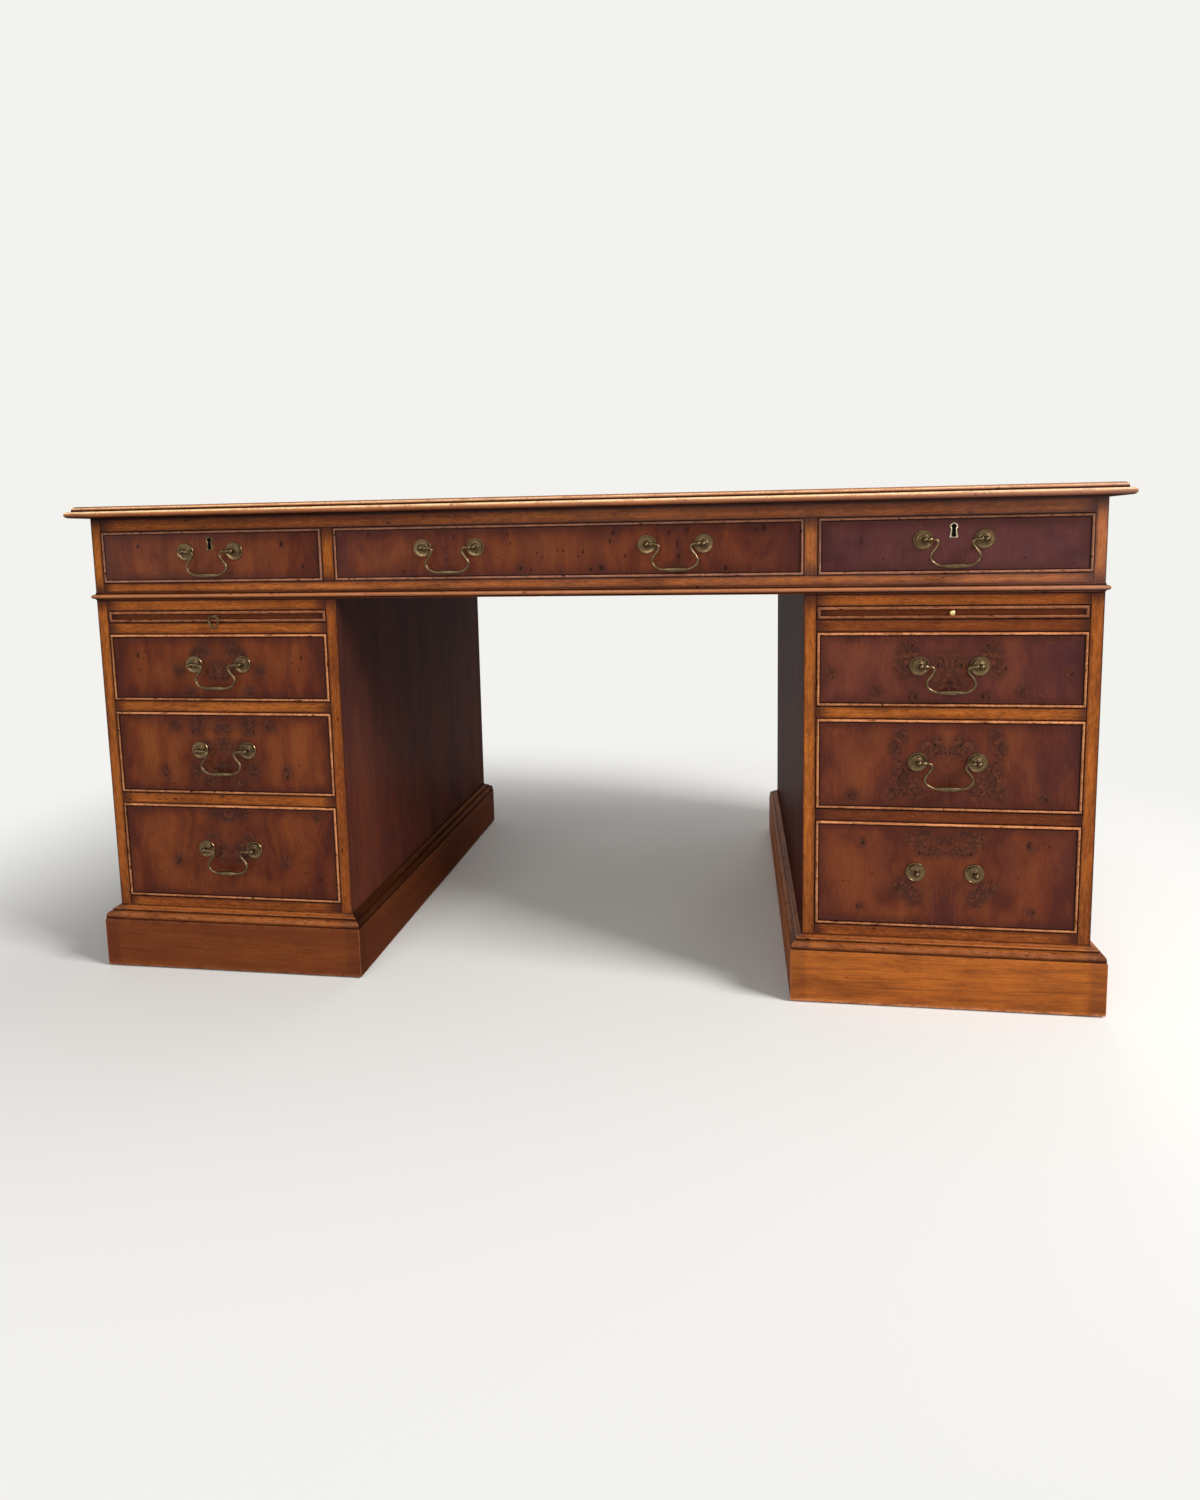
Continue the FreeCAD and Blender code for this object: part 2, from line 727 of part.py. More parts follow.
def handle_mount():
    """Two rosettes and two ball-headed posts, pivot line at the origin."""
    out = Vector(0, -1, 0)
    solids = []
    for way in (-1, 1):
        foot = Vector(way * post_spacing / 2, pivot_standoff, 0)
        dish = rosette_thickness - rosette_dish
        solids.append(turned(foot, out, [
            (0, rosette_radius), (rosette_thickness, rosette_radius - rosette_bevel),
            (dish, rosette_radius - rosette_rim)], rosette_sides))
        ball_back = pivot_standoff - ball_radius
        post = turned(foot, out, [
            (dish, stem_radius), (ball_back, stem_radius),
            (pivot_standoff - ball_radius * 0.5, ball_radius),
            (pivot_standoff + ball_radius * 0.5, ball_radius),
            (pivot_standoff + ball_radius, ball_radius * 0.4)], post_sides)
        hole_end = Vector(way * (post_spacing / 2 + pin_bite + pin_end_gap), 0, 0)
        solids.append(post.cut(pin_hole(hole_end, Vector(-way, 0, 0),
                                        2 * (ball_radius + pin_bite), pin_radius)))
    return solids


def moved(solids, x, y, z):
    """Copies of solids, shifted."""
    shifted = []
    for solid in solids:
        copy = solid.copy()
        copy.translate(Vector(x, y, z))
        shifted.append(copy)
    return shifted


# ---------------------------------------------------------------- all drawers
def drawer_plan():
    """Every drawer: name, centre x, bottom, width, height, length and its handles' x."""
    side_x = {"left": -side_frieze_centre, "right": side_frieze_centre}
    plan = []
    for name, side in SIDES:
        plan.append((name + "_frieze", side_x[name], frieze_drawer_bottom, side_frieze_width,
                     frieze_drawer_height, frieze_drawer_length, handle_rise_frieze,
                     [("", side_x[name])]))
        for level, bottom, height in (("_upper", upper_drawer_bottom, upper_drawer_height),
                                      ("_middle", middle_drawer_bottom, middle_drawer_height),
                                      ("_lower", lower_drawer_bottom, lower_drawer_height)):
            plan.append((name + level, side * pedestal_centre, bottom, pedestal_drawer_width,
                         height, pedestal_drawer_length, handle_rise,
                         [("", side * pedestal_centre)]))
    plan.append(("centre_frieze", 0.0, frieze_drawer_bottom, centre_frieze_width,
                 frieze_drawer_height, frieze_drawer_length, handle_rise_frieze,
                 [("_left", -centre_handle_place), ("_right", centre_handle_place)]))
    return plan


MISSING_BAIL = "right_lower"        # this drawer has kept its posts and lost its bail


def make_drawers():
    nodes = {}
    bail = swan_neck_bail()
    mount = handle_mount()
    for name, x, bottom, width, height, length, rise, handles in drawer_plan():
        middle = bottom + height / 2
        box = drawer_box(width, height, length)
        if name in ("left_frieze", "right_frieze"):
            front, lock, bolt = fit_lock(box[0])
            box[0] = front
            nodes[name + "_lock"] = moved(lock, x, front_face, middle)
            nodes[name + "_lock_bolt"] = moved([bolt], x, front_face, middle)
        nodes[name + "_drawer"] = moved(box, x, front_face, middle)
        posts = []
        for suffix, handle_x in handles:
            posts += moved(mount, handle_x, pivot_line, middle + rise)
            if name != MISSING_BAIL:
                nodes[name + suffix + "_bail"] = moved([bail], handle_x, pivot_line, middle + rise)
        nodes[name + "_handle_mounts"] = posts
    return nodes


# ---------------------------------------------------------------- writing slides
def make_slides():
    nodes = {}
    width = pedestal_drawer_width
    middle = slide_bottom + slide_height / 2
    lip = rebated_front(width, slide_height, front_thickness, slide_face_recess)
    board_top = slide_height / 2 - slide_board_drop
    half_board = width / 2 - slide_board_play
    board = block(-half_board, half_board, front_thickness, slide_length,
                  board_top - slide_board_thickness, board_top)
    solids = [lip, board] + cock_beads(width, slide_height, slide_face_recess)
    face = front_face + slide_face_recess
    out = Vector(0, -1, 0)
    for name, side in SIDES:
        nodes[name + "_slide"] = moved(solids, side * pedestal_centre, front_face, middle)
    knob = turned(Vector(pedestal_centre, face, middle), out, [
        (0, knob_stem_radius * 1.7), (knob_stem_radius * 0.55, knob_stem_radius),
        (knob_standoff - knob_radius, knob_stem_radius),
        (knob_standoff - knob_radius * 0.72, knob_radius * 0.82), (knob_standoff, knob_radius),
        (knob_standoff + knob_radius * 0.6, knob_radius * 0.8),
        (knob_standoff + knob_radius * 0.92, knob_radius * 0.35)], rosette_sides)
    nodes["right_slide_knob"] = [knob]
    post = turned(Vector(-pedestal_centre, face, middle), out, [
        (0, ring_ball_radius * 1.25), (ring_ball_radius * 0.45, ring_ball_radius * 0.6),
        (ring_standoff - ring_ball_radius * 0.7, ring_ball_radius * 0.75),
        (ring_standoff, ring_ball_radius),
        (ring_standoff + ring_ball_radius * 0.8, ring_ball_radius * 0.5)], 8)
    pivot_y = face - ring_standoff
    reach = ring_ball_radius * 1.3
    bore = pin_hole(Vector(-pedestal_centre - reach, pivot_y, middle), Vector(1, 0, 0), 2 * reach,
                    ring_wire_radius)
    nodes["left_slide_post"] = [post.cut(bore)]
    half = [(ring_pin_gap, 0), (ring_ball_radius * 1.25, 0),
            (ring_half_width * 0.82, -ring_drop * 0.09),
            (ring_half_width, -ring_drop * 0.29), (ring_half_width * 0.86, -ring_drop * 0.58),
            (ring_half_width * 0.42, -ring_drop * 0.92), (0, -ring_drop)]
    path = half + [(-x, z) for x, z in reversed(half[:-1])]
    ring = rod([(x, z, ring_wire_radius) for x, z in path], wire_sides)
    nodes["left_slide_ring"] = moved([ring], -pedestal_centre, pivot_y, middle)
    return nodes


# ---------------------------------------------------------------- far side
def make_rear_frieze():
    """False drawer fronts and their fixed handles."""
    fronts = []
    handles = []
    fixed = handle_mount() + [swan_neck_bail()]
    middle = frieze_drawer_bottom + frieze_drawer_height / 2
    openings = [(-side_frieze_centre, frieze_end_inner - divider_outer, [0]),
                (0, 2 * divider_inner, [-centre_handle_place, centre_handle_place]),
                (side_frieze_centre, frieze_end_inner - divider_outer, [0])]
    for x, width, places in openings:
        height = frieze_top_rail_bottom - frieze_rail_top
        group = [rebated_front(width, height, front_thickness)] + cock_beads(width, height)
        for solid in group:
            solid.rotate(Vector(0, 0, 0), Vector(0, 0, 1), 180)
        fronts += moved(group, x, rear_face, middle)
        for place in places:
            turned_handle = []
            for solid in fixed:
                copy = solid.copy()
                copy.rotate(Vector(0, 0, 0), Vector(0, 0, 1), 180)
                turned_handle.append(copy)
            handles += moved(turned_handle, x + place, rear_face + pivot_standoff,
                             middle + handle_rise_frieze)
    return {"rear_false_fronts": fronts, "rear_false_handles": handles}


def make_door(side):
    """Frame-and-panel cupboard door, its hinge leaves and its knob."""
    low = lower_rail_top + joint_gap
    high = top_rail_bottom - joint_gap
    outer = side * (half_width - stile_width - joint_gap)
    inner = side * (half_kneehole + stile_width + joint_gap)
    outer_in = outer - side * door_stile_width
    inner_in = inner + side * door_stile_width
    y0 = rear_face - door_thickness
    door = []
    middle_y = rear_face - door_thickness / 2
    panel_x0 = min(outer_in, inner_in) - door_panel_tongue
    panel_x1 = max(outer_in, inner_in) + door_panel_tongue
    panel_z0 = low + door_stile_width - door_panel_tongue
    panel_z1 = high - door_stile_width + door_panel_tongue
    tongue = block(panel_x0, panel_x1, middle_y - door_panel_edge / 2,
                   middle_y + door_panel_edge / 2, panel_z0, panel_z1)
    for x0, x1 in ((outer, outer_in), (inner, inner_in)):
        stile = block(x0, x1, y0, rear_face, low, high).cut(tongue)
        if x0 == outer:
            for z in hinge_bottoms():
                stile = stile.cut(block(outer, outer - side * hinge_leaf,
                                        rear_face - hinge_leaf_depth, rear_face,
                                        z, z + hinge_length))
        door.append(stile)
    for z0, z1 in ((low, low + door_stile_width), (high - door_stile_width, high)):
        door.append(block(inner_in, outer_in, y0, rear_face, z0, z1).cut(tongue))
    field = door_panel_field + door_panel_tongue
    bevel_start = middle_y + door_panel_edge / 2
    bevel_top = middle_y + door_panel_thickness / 2
    rings = []
    for y, inset in ((bevel_start, door_panel_tongue), (bevel_top, field)):
        rings.append([Vector(panel_x0 + inset, y, panel_z0 + inset),
                      Vector(panel_x1 - inset, y, panel_z0 + inset),
                      Vector(panel_x1 - inset, y, panel_z1 - inset),
                      Vector(panel_x0 + inset, y, panel_z1 - inset)])
    door.append(tongue.fuse(skin(rings)).removeSplitter())

    axis_x = outer + side * joint_gap / 2
    axis_y = rear_face + hinge_knuckle_radius + hinge_face_gap
    moving = []
    fixed = []
    for z in hinge_bottoms():
        split = z + hinge_length / 2
        for start, leaf_x0, leaf_x1, target in (
                (z, outer + side * joint_gap, outer + side * (joint_gap + hinge_leaf), fixed),
                (split + hinge_axial_gap, outer, outer - side * hinge_leaf, moving)):
            length = hinge_length / 2 - (hinge_axial_gap if target is moving else 0)
            leaf = block(leaf_x0, leaf_x1, rear_face - hinge_leaf_depth, rear_face,
                         z, z + hinge_length)
            arm = block(leaf_x0, leaf_x1, rear_face, axis_y, start, start + length)
            knuckle = turned(Vector(axis_x, axis_y, start), Vector(0, 0, 1),
                             [(0, hinge_knuckle_radius), (length, hinge_knuckle_radius)],
                             hinge_sides)
            hinge = leaf.fuse(arm).fuse(knuckle)
            if target is moving:
                corner = (hinge_pin_radius + hinge_pin_clearance) / math.cos(math.pi / hinge_sides)
                bore = turned(Vector(axis_x, axis_y, start), Vector(0, 0, 1),
                              [(0, corner), (length, corner)], hinge_sides)
                hinge = hinge.cut(bore)
            else:
                pin = turned(Vector(axis_x, axis_y, z), Vector(0, 0, 1),
                             [(0, hinge_pin_radius), (hinge_length, hinge_pin_radius)],
                             hinge_sides)
                hinge = hinge.fuse(pin)
            target.append(hinge)
    knob_x = inner + side * door_stile_width / 2
    knob_z = (low + high) / 2 + door_knob_rise
    profile = [(0, 1), (0.09, 0.4), (0.39, 0.4), (0.56, 0.85), (0.78, 1), (1, 0.6)]
    moving.append(turned(Vector(knob_x, rear_face, knob_z), Vector(0, 1, 0),
                         [(door_knob_length * along, door_knob_radius * across)
                          for along, across in profile], rosette_sides))
    return door, moving, fixed


def make_shelves():
    """One loose shelf on two cleats in each cupboard."""
    solids = []
    z = lower_rail_top + shelf_place
    y0 = partition_place + partition_thickness
    y1 = rear_face - door_thickness - shelf_setback
    for _, side in SIDES:
        inner_in = side * (half_kneehole + stile_width)
        outer_in = side * (half_width - stile_width)
        solids.append(block(inner_in, outer_in, y0, y1, z, z + shelf_thickness))
        for x0, way in ((inner_in, side), (outer_in, -side)):
            solids.append(block(x0, x0 + way * cleat_size, y0, y1, z - cleat_size, z))
    return solids


# ---------------------------------------------------------------- whole desk
def make_desk():
    nodes = {}
    nodes.update(make_top())
    nodes.update(make_frieze())
    nodes.update(make_drawers())
    nodes.update(make_slides())
    nodes.update(make_rear_frieze())
    nodes["pedestal_runners"] = []
    nodes["floor_glides"] = []
    nodes["door_frame_hinges"] = []
    nodes["cupboard_shelves"] = make_shelves()
    for name, side in SIDES:
        case, frame, runners = make_pedestal(side)
        plinth, moulding, glides = make_plinth(side)
        door, moving, fixed = make_door(side)
        nodes[name + "_pedestal_case"] = case
        nodes[name + "_pedestal_frame"] = frame
        nodes[name + "_plinth"] = plinth
        nodes[name + "_plinth_moulding"] = moulding
        nodes[name + "_rear_door"] = door
        nodes[name + "_door_fittings"] = moving
        nodes["pedestal_runners"] += runners
        nodes["floor_glides"] += glides
        nodes["door_frame_hinges"] += fixed
    return nodes


def main():
    os.makedirs("parts", exist_ok=True)
    for name, solids in make_desk().items():
        shape = solids[0] if len(solids) == 1 else Part.makeCompound(solids)
        shape.exportStep("parts/" + name + ".step")


if __name__ == "__main__":
    main()
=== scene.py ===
"""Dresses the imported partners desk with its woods, mouldings, leather and brass.

Metres, +Z up, the working side facing -Y. Every piece stands where its CAD nodes stand.
"""

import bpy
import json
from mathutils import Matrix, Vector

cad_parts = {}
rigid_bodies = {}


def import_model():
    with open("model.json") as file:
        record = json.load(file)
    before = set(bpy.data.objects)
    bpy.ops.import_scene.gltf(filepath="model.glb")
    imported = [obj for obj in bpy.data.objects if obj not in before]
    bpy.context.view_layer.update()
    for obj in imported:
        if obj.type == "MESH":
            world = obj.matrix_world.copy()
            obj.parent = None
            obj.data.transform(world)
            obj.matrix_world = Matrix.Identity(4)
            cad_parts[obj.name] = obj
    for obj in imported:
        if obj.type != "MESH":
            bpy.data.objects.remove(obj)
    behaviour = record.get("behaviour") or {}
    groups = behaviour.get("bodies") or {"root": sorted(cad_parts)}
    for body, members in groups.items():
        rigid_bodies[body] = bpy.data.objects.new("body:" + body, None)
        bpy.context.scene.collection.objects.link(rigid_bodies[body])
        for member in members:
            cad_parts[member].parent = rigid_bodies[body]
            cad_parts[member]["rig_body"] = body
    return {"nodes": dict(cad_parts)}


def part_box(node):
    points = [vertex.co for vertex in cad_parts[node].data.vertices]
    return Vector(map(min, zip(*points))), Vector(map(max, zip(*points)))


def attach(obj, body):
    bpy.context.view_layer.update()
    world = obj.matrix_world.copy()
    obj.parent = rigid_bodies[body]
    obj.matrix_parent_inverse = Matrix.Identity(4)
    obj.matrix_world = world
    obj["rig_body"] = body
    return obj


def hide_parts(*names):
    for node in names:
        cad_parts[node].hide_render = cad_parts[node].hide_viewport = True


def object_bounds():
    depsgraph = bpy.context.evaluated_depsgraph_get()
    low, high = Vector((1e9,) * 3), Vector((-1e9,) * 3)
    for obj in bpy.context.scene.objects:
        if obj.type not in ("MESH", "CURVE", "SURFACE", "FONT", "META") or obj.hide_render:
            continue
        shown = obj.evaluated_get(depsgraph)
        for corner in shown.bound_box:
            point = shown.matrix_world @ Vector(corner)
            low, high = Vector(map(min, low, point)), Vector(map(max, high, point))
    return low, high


bl_info = {
    "name": "Partners Desk",
    "version": (1, 0, 0),
    "blender": (4, 5, 0),
    "location": "View3D > Sidebar > Desk",
    "description": "Woods, mouldings, leather and brass for a partners desk",
    "category": "Object",
}

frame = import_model()

import json
import math
import random

import bmesh
import bpy
import numpy as np
from bpy.props import FloatProperty, FloatVectorProperty, PointerProperty
from bpy.types import Operator, Panel, PropertyGroup
from mathutils import Matrix, Vector

CAD_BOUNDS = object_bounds()
X, Y, Z = Vector((1, 0, 0)), Vector((0, 1, 0)), Vector((0, 0, 1))
MILLIMETRE = 0.001
SIDES = ("left", "right")
FRONT_GRID, DOOR_GRID = 0.0026, 0.004
DRAWERS = [side + "_" + level for side in SIDES
           for level in ("frieze", "upper", "middle", "lower")] + ["centre_frieze"]


def display(red, green, blue):
    """Scene-linear colour from the 0-255 values that a screen shows."""
    def linear(value):
        value /= 255
        return value / 12.92 if value <= 0.04045 else ((value + 0.055) / 1.055) ** 2.4
    return (linear(red), linear(green), linear(blue))


# ---------------------------------------------------------------- properties
def colour(name, description, *shade):
    return FloatVectorProperty(name=name, description=description, subtype="COLOR", size=3,
                               min=0, max=1, default=display(*shade))


def length(name, description, millimetres):
    return FloatProperty(name=name, description=description, default=millimetres * MILLIMETRE,
                         min=0, unit="LENGTH", precision=5)


def share(name, description, value):
    return FloatProperty(name=name, description=description, default=value, min=0, max=1,
                         subtype="FACTOR")


class DeskWoods(PropertyGroup):
    honey: colour("Honey", "Light yew of the stiles and rails", 178, 100, 38)
    honey_mid: colour("Honey shade", "Streaks in the stiles and rails", 142, 73, 28)
    honey_dark: colour("Honey lines", "Darkest lines of the grain", 76, 36, 18)
    deep: colour("Deep stain", "Rails and skirtings that were stained darker", 98, 46, 24)
    patina: colour("Patina", "Old polish at the ends and rims of boards", 58, 28, 24)
    # The rubbed colour also lightens the crowns of beads and of the top edge, partly as a painted
    # highlight.
    worn: colour("Rubbed edge", "Wood rubbed bare along a bead", 224, 150, 100)
    # Painted highlight: the bright line of light along the top edge, painted into the colour.
    painted_highlight: colour("Burnished edge", "Brightest line of a rubbed moulding", 252, 220, 166)
    burr_ground: colour("Burr ground", "Main colour of the drawer veneer", 103, 48, 26)
    burr_honey: colour("Burr clouds", "Light clouds in the drawer veneer", 130, 69, 34)
    burr_shade: colour("Burr shade", "Dark clouds in the drawer veneer", 77, 33, 23)
    burr_murk: colour("Burr clumps", "Ground of a clump of burrs", 66, 37, 28)
    burr_curl: colour("Burr curls", "Light curls in a clump of burrs", 118, 62, 42)
    burr_shadow: colour("Burr shadow", "Painted shadows of the burr", 70, 32, 24)
    red_shadow: colour("Red shadow", "Painted shadows of the redder fronts", 64, 34, 38)
    burr_knot: colour("Knots", "Pips and knots of the burr", 30, 11, 8)
    red: colour("Red tone", "Stain on the redder fronts", 86, 50, 52)
    # Painted sheen: a milky reflection painted into the colour of the polish.
    bloom: colour("Bloom", "Milky haze of old polish", 168, 134, 128)
    # Painted shade under the top, under the base bead and at the tops of the pedestal sides.
    eaves: colour("Eaves", "Grime under the top and the base bead", 34, 12, 16)
    panel: colour("Side panel", "Light stripe of the pedestal sides", 82, 41, 29)
    panel_dark: colour("Side panel shade", "Dark stripe of the pedestal sides", 66, 32, 26)
    lining: colour("Lining", "Oak of the drawer boxes and runners", 176, 138, 92)
    lining_dark: colour("Lining lines", "Open grain of the oak", 120, 86, 52)
    lining_dust: colour("Lining dust", "Dust at the ends and edges of the oak", 84, 62, 40)
    coat: share("Polish", "Weight of the clear polish", 0.14)


class DeskTrims(PropertyGroup):
    arris: length("Arris", "Softened edge of every board", 0.45)
    bead_width: length("Cock bead width", "Width of a cock bead", 4.4)
    bead_depth: length("Cock bead depth", "How far a cock bead is let in", 6.0)
    bead_proud: length("Cock bead proud", "Height of a cock bead", 1.8)
    edge_width: length("Top edging", "Moulded edging inside the case line", 60.0)
    nose_radius: length("Nose", "Lower roll of the top edge", 5.0)
    quirk_setback: length("Quirk", "Tip of the nose back to the quirk", 7.8)
    quirk_rise: length("Quirk rise", "Height of the quirk", 2.4)
    base_bead_depth: length("Base bead strip", "Depth of the strip under the frieze", 60.0)
    base_bead_reach: length("Base bead reach", "Crown of the base bead beyond the case", 5.5)
    ovolo_radius: length("Ovolo", "Round of the plinth moulding", 7.6)
    ovolo_start: length("Ovolo start", "Square foot under the ovolo", 4.0)
    fillet_top: length("Fillet", "Top of the fillet over the ovolo", 14.7)
    moulding_setback: length("Ledge", "Ledge in front of the plinth moulding", 1.2)
    plinth_arris: length("Plinth arris", "Chamfer of the skirting", 1.5)
    dents: FloatProperty(name="Dents", description="Dents in a metre of moulding", default=11,
                         min=0, max=60)
    dent_depth: length("Dent depth", "Deepest dent", 0.7)
    glide: colour("Glides", "Nylon of the floor glides", 190, 120, 72)
    glide_dust: colour("Glide dust", "Scuffs on the floor glides", 120, 76, 48)


class DeskMetals(PropertyGroup):
    brass: colour("Antique brass", "Rubbed faces of the old brass", 130, 107, 76)
    brass_old: colour("Old brass", "Bails and posts", 112, 92, 66)
    brass_dark: colour("Tarnish", "Tarnish of the old brass", 52, 40, 28)
    bright: colour("Bright brass", "Polished knob of the right slide", 236, 214, 140)
    pale: colour("Pale brass", "Rubbed rim of the right escutcheon", 228, 212, 182)
    gilt: colour("Gilt", "Gold tooling on the leather", 214, 176, 92)
    steel: colour("Steel", "Screws and lock bolts", 120, 116, 110)
    rosette_radius: length("Rosette", "Radius of a rosette", 14.25)
    ball_radius: length("Post ball", "Radius of the ball that holds a bail", 4.6)
    standoff: length("Standoff", "Pivot in front of its drawer", 11.5)
    wire_radius: length("Bail wire", "Radius of a bail", 2.0)
    grip_radius: length("Grip", "Radius of the swollen grip", 3.9)
    escutcheon_rim: length("Escutcheon rim", "Width of the rim round a keyhole", 2.9)


class DeskLeather(PropertyGroup):
    green: colour("Leather", "Colour of the writing leathers", 40, 70, 50)
    green_dark: colour("Leather shade", "Hollows and rubbed colour of the leather", 22, 42, 30)
    scuffed: colour("Leather scuffs", "Scratches in the leather", 96, 118, 92)
    border: length("Tooling border", "Edge of a leather to its gilt lines", 22.0)
    line_width: length("Gilt line", "Width of a gilt line", 1.0)
    stamp_spacing: length("Stamp spacing", "From one gilt stamp to the next", 11.0)
    stamp_size: length("Stamp size", "Length of one gilt stamp", 8.4)


class DeskStage(PropertyGroup):
    eye: FloatVectorProperty(name="Camera", description="Place of the camera", size=3,
                             subtype="TRANSLATION", unit="LENGTH",
                             default=(0.26036, -1.66161, 0.70629))
    yaw: FloatProperty(name="Yaw", description="Turn to the right", unit="ROTATION",
                       default=math.radians(-7.731))
    pitch: FloatProperty(name="Pitch", description="Tilt upwards", unit="ROTATION",
                         default=math.radians(-6.173))
    roll: FloatProperty(name="Roll", description="Turn about the line of sight",
                        unit="ROTATION", default=math.radians(-1.012))
    focal: FloatProperty(name="Focal length", description="Lens in millimetres for 36 mm film",
                         default=20.6635, min=1)
    shift_x: FloatProperty(name="Shift across", description="Lens shift", default=-0.01196)
    shift_y: FloatProperty(name="Shift up", description="Lens shift", default=-0.0790)
    backdrop: colour("Backdrop", "Colour behind and under the desk", 243, 242, 238)
    sky: FloatProperty(name="Sky", description="Strength of the even light", default=0.37, min=0)
    key: FloatProperty(name="Key", description="Power of the main lamp", default=330, min=0,
                       subtype="POWER")
    fill: FloatProperty(name="Fill", description="Power of the front lamp", default=44, min=0,
                        subtype="POWER")
    paint: colour("Floor", "Paint of the floor near the desk", 227, 226, 222)
    behind: FloatProperty(name="Behind", description="Power of the lamp behind the desk",
                          default=36, min=0, subtype="POWER")
    shadow_reach: FloatProperty(name="Shadow reach", description="Floor round the desk that shows "
                                "its shadow", default=0.9, min=0.1, unit="LENGTH")


# ---------------------------------------------------------------- reading the frame
def solids_of(node):
    """The closed solids of a CAD node, each as merged points and triangles."""
    mesh = frame["nodes"][node].data
    places = np.empty(len(mesh.vertices) * 3, np.float32)
    mesh.vertices.foreach_get("co", places)
    keys = [tuple(key) for key in
            np.round(places.reshape(-1, 3).astype(float) * 1e6).astype(int)]
    corners = np.empty(len(mesh.loops), np.int32)
    mesh.loops.foreach_get("vertex_index", corners)
    solids = []
    found, faces, loose = {}, [], set()
    for triangle in corners.reshape(-1, 3):
        face = [found.setdefault(keys[corner], len(found)) for corner in triangle]
        faces.append(face)
        for start, end in zip(face, face[1:] + face[:1]):
            if (end, start) in loose:
                loose.remove((end, start))
            else:
                loose.add((start, end))
        if not loose:
            solids.append((np.array(list(found), float) * 1e-6, faces))
            found, faces = {}, []
    return solids


def box_of(solid):
    """The low and the high corner of a solid."""
    return Vector(solid[0].min(0)), Vector(solid[0].max(0))


def inside(low, high, *shares):
    """The point that lies these shares of the way from the low to the high corner."""
    return Vector([start * (1 - part) + end * part
                   for start, end, part in zip(low, high, shares or (0.5, 0.5, 0.5))])


def body_of(node):
    return frame["nodes"][node]["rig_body"]


# ---------------------------------------------------------------- gathering a piece
def gridded(work, face_y, step):
    """Cuts the faces that lie on a plane across Y into a grid for painted marks."""
    faces = [face for face in work.faces if abs(face.calc_center_median().y - face_y) < 5e-4
             and abs(face.normal.y) > 0.9]
    for axis in (0, 2):
        places = [vert.co[axis] for face in faces for vert in face.verts]
        low, high = min(places), max(places)
        done = []
        for number in range(1, int((high - low) / step)):
            place = low + number * step
            geometry = set(faces)
            for face in faces:
                geometry.update(face.verts)
                geometry.update(face.edges)
            point, normal = Vector(), Vector()
            point[axis], normal[axis] = place, 1
            made = bmesh.ops.bisect_plane(work, geom=list(geometry), plane_co=point,
                                          plane_no=normal)["geom"]
            made = [face for face in made if isinstance(face, bmesh.types.BMFace)]
            faces = [face for face in made if face.calc_center_median()[axis] > place]
            done += [face for face in made if face.calc_center_median()[axis] <= place]
        faces += done


def eased(points, faces, arris, grid=None):
    """Merges the flat faces of a solid, rounds its edges and cuts a grid in its show face."""
    work = bmesh.new()
    made = [work.verts.new(point) for point in points]
    for face in faces:
        work.faces.new([made[i] for i in face])
    bmesh.ops.dissolve_limit(work, angle_limit=0.02, verts=work.verts, edges=work.edges)
    sharp = [edge for edge in work.edges
             if len(edge.link_faces) == 2 and edge.calc_face_angle() > 0.5]
    bmesh.ops.bevel(work, geom=sharp, offset=arris, offset_type="OFFSET", segments=2,
                    profile=0.5, affect="EDGES", clamp_overlap=True)
    if grid:
        gridded(work, *grid)
    work.verts.index_update()
    places = np.array([vert.co for vert in work.verts])
    rounded = [[vert.index for vert in face.verts] for face in work.faces]
    work.free()
    return places, rounded


def tube(rings, many, closed=False):
    """Faces between rings that each have as many points, with both ends shut or joined."""
    last = rings if closed else rings - 1
    sides = [[row * many + i, row * many + (i + 1) % many,
              (row + 1) % rings * many + (i + 1) % many, (row + 1) % rings * many + i]
             for row in range(last) for i in range(many)]
    ends = [] if closed else [list(range(many)), list(range((rings - 1) * many, rings * many))]
    return ends + sides


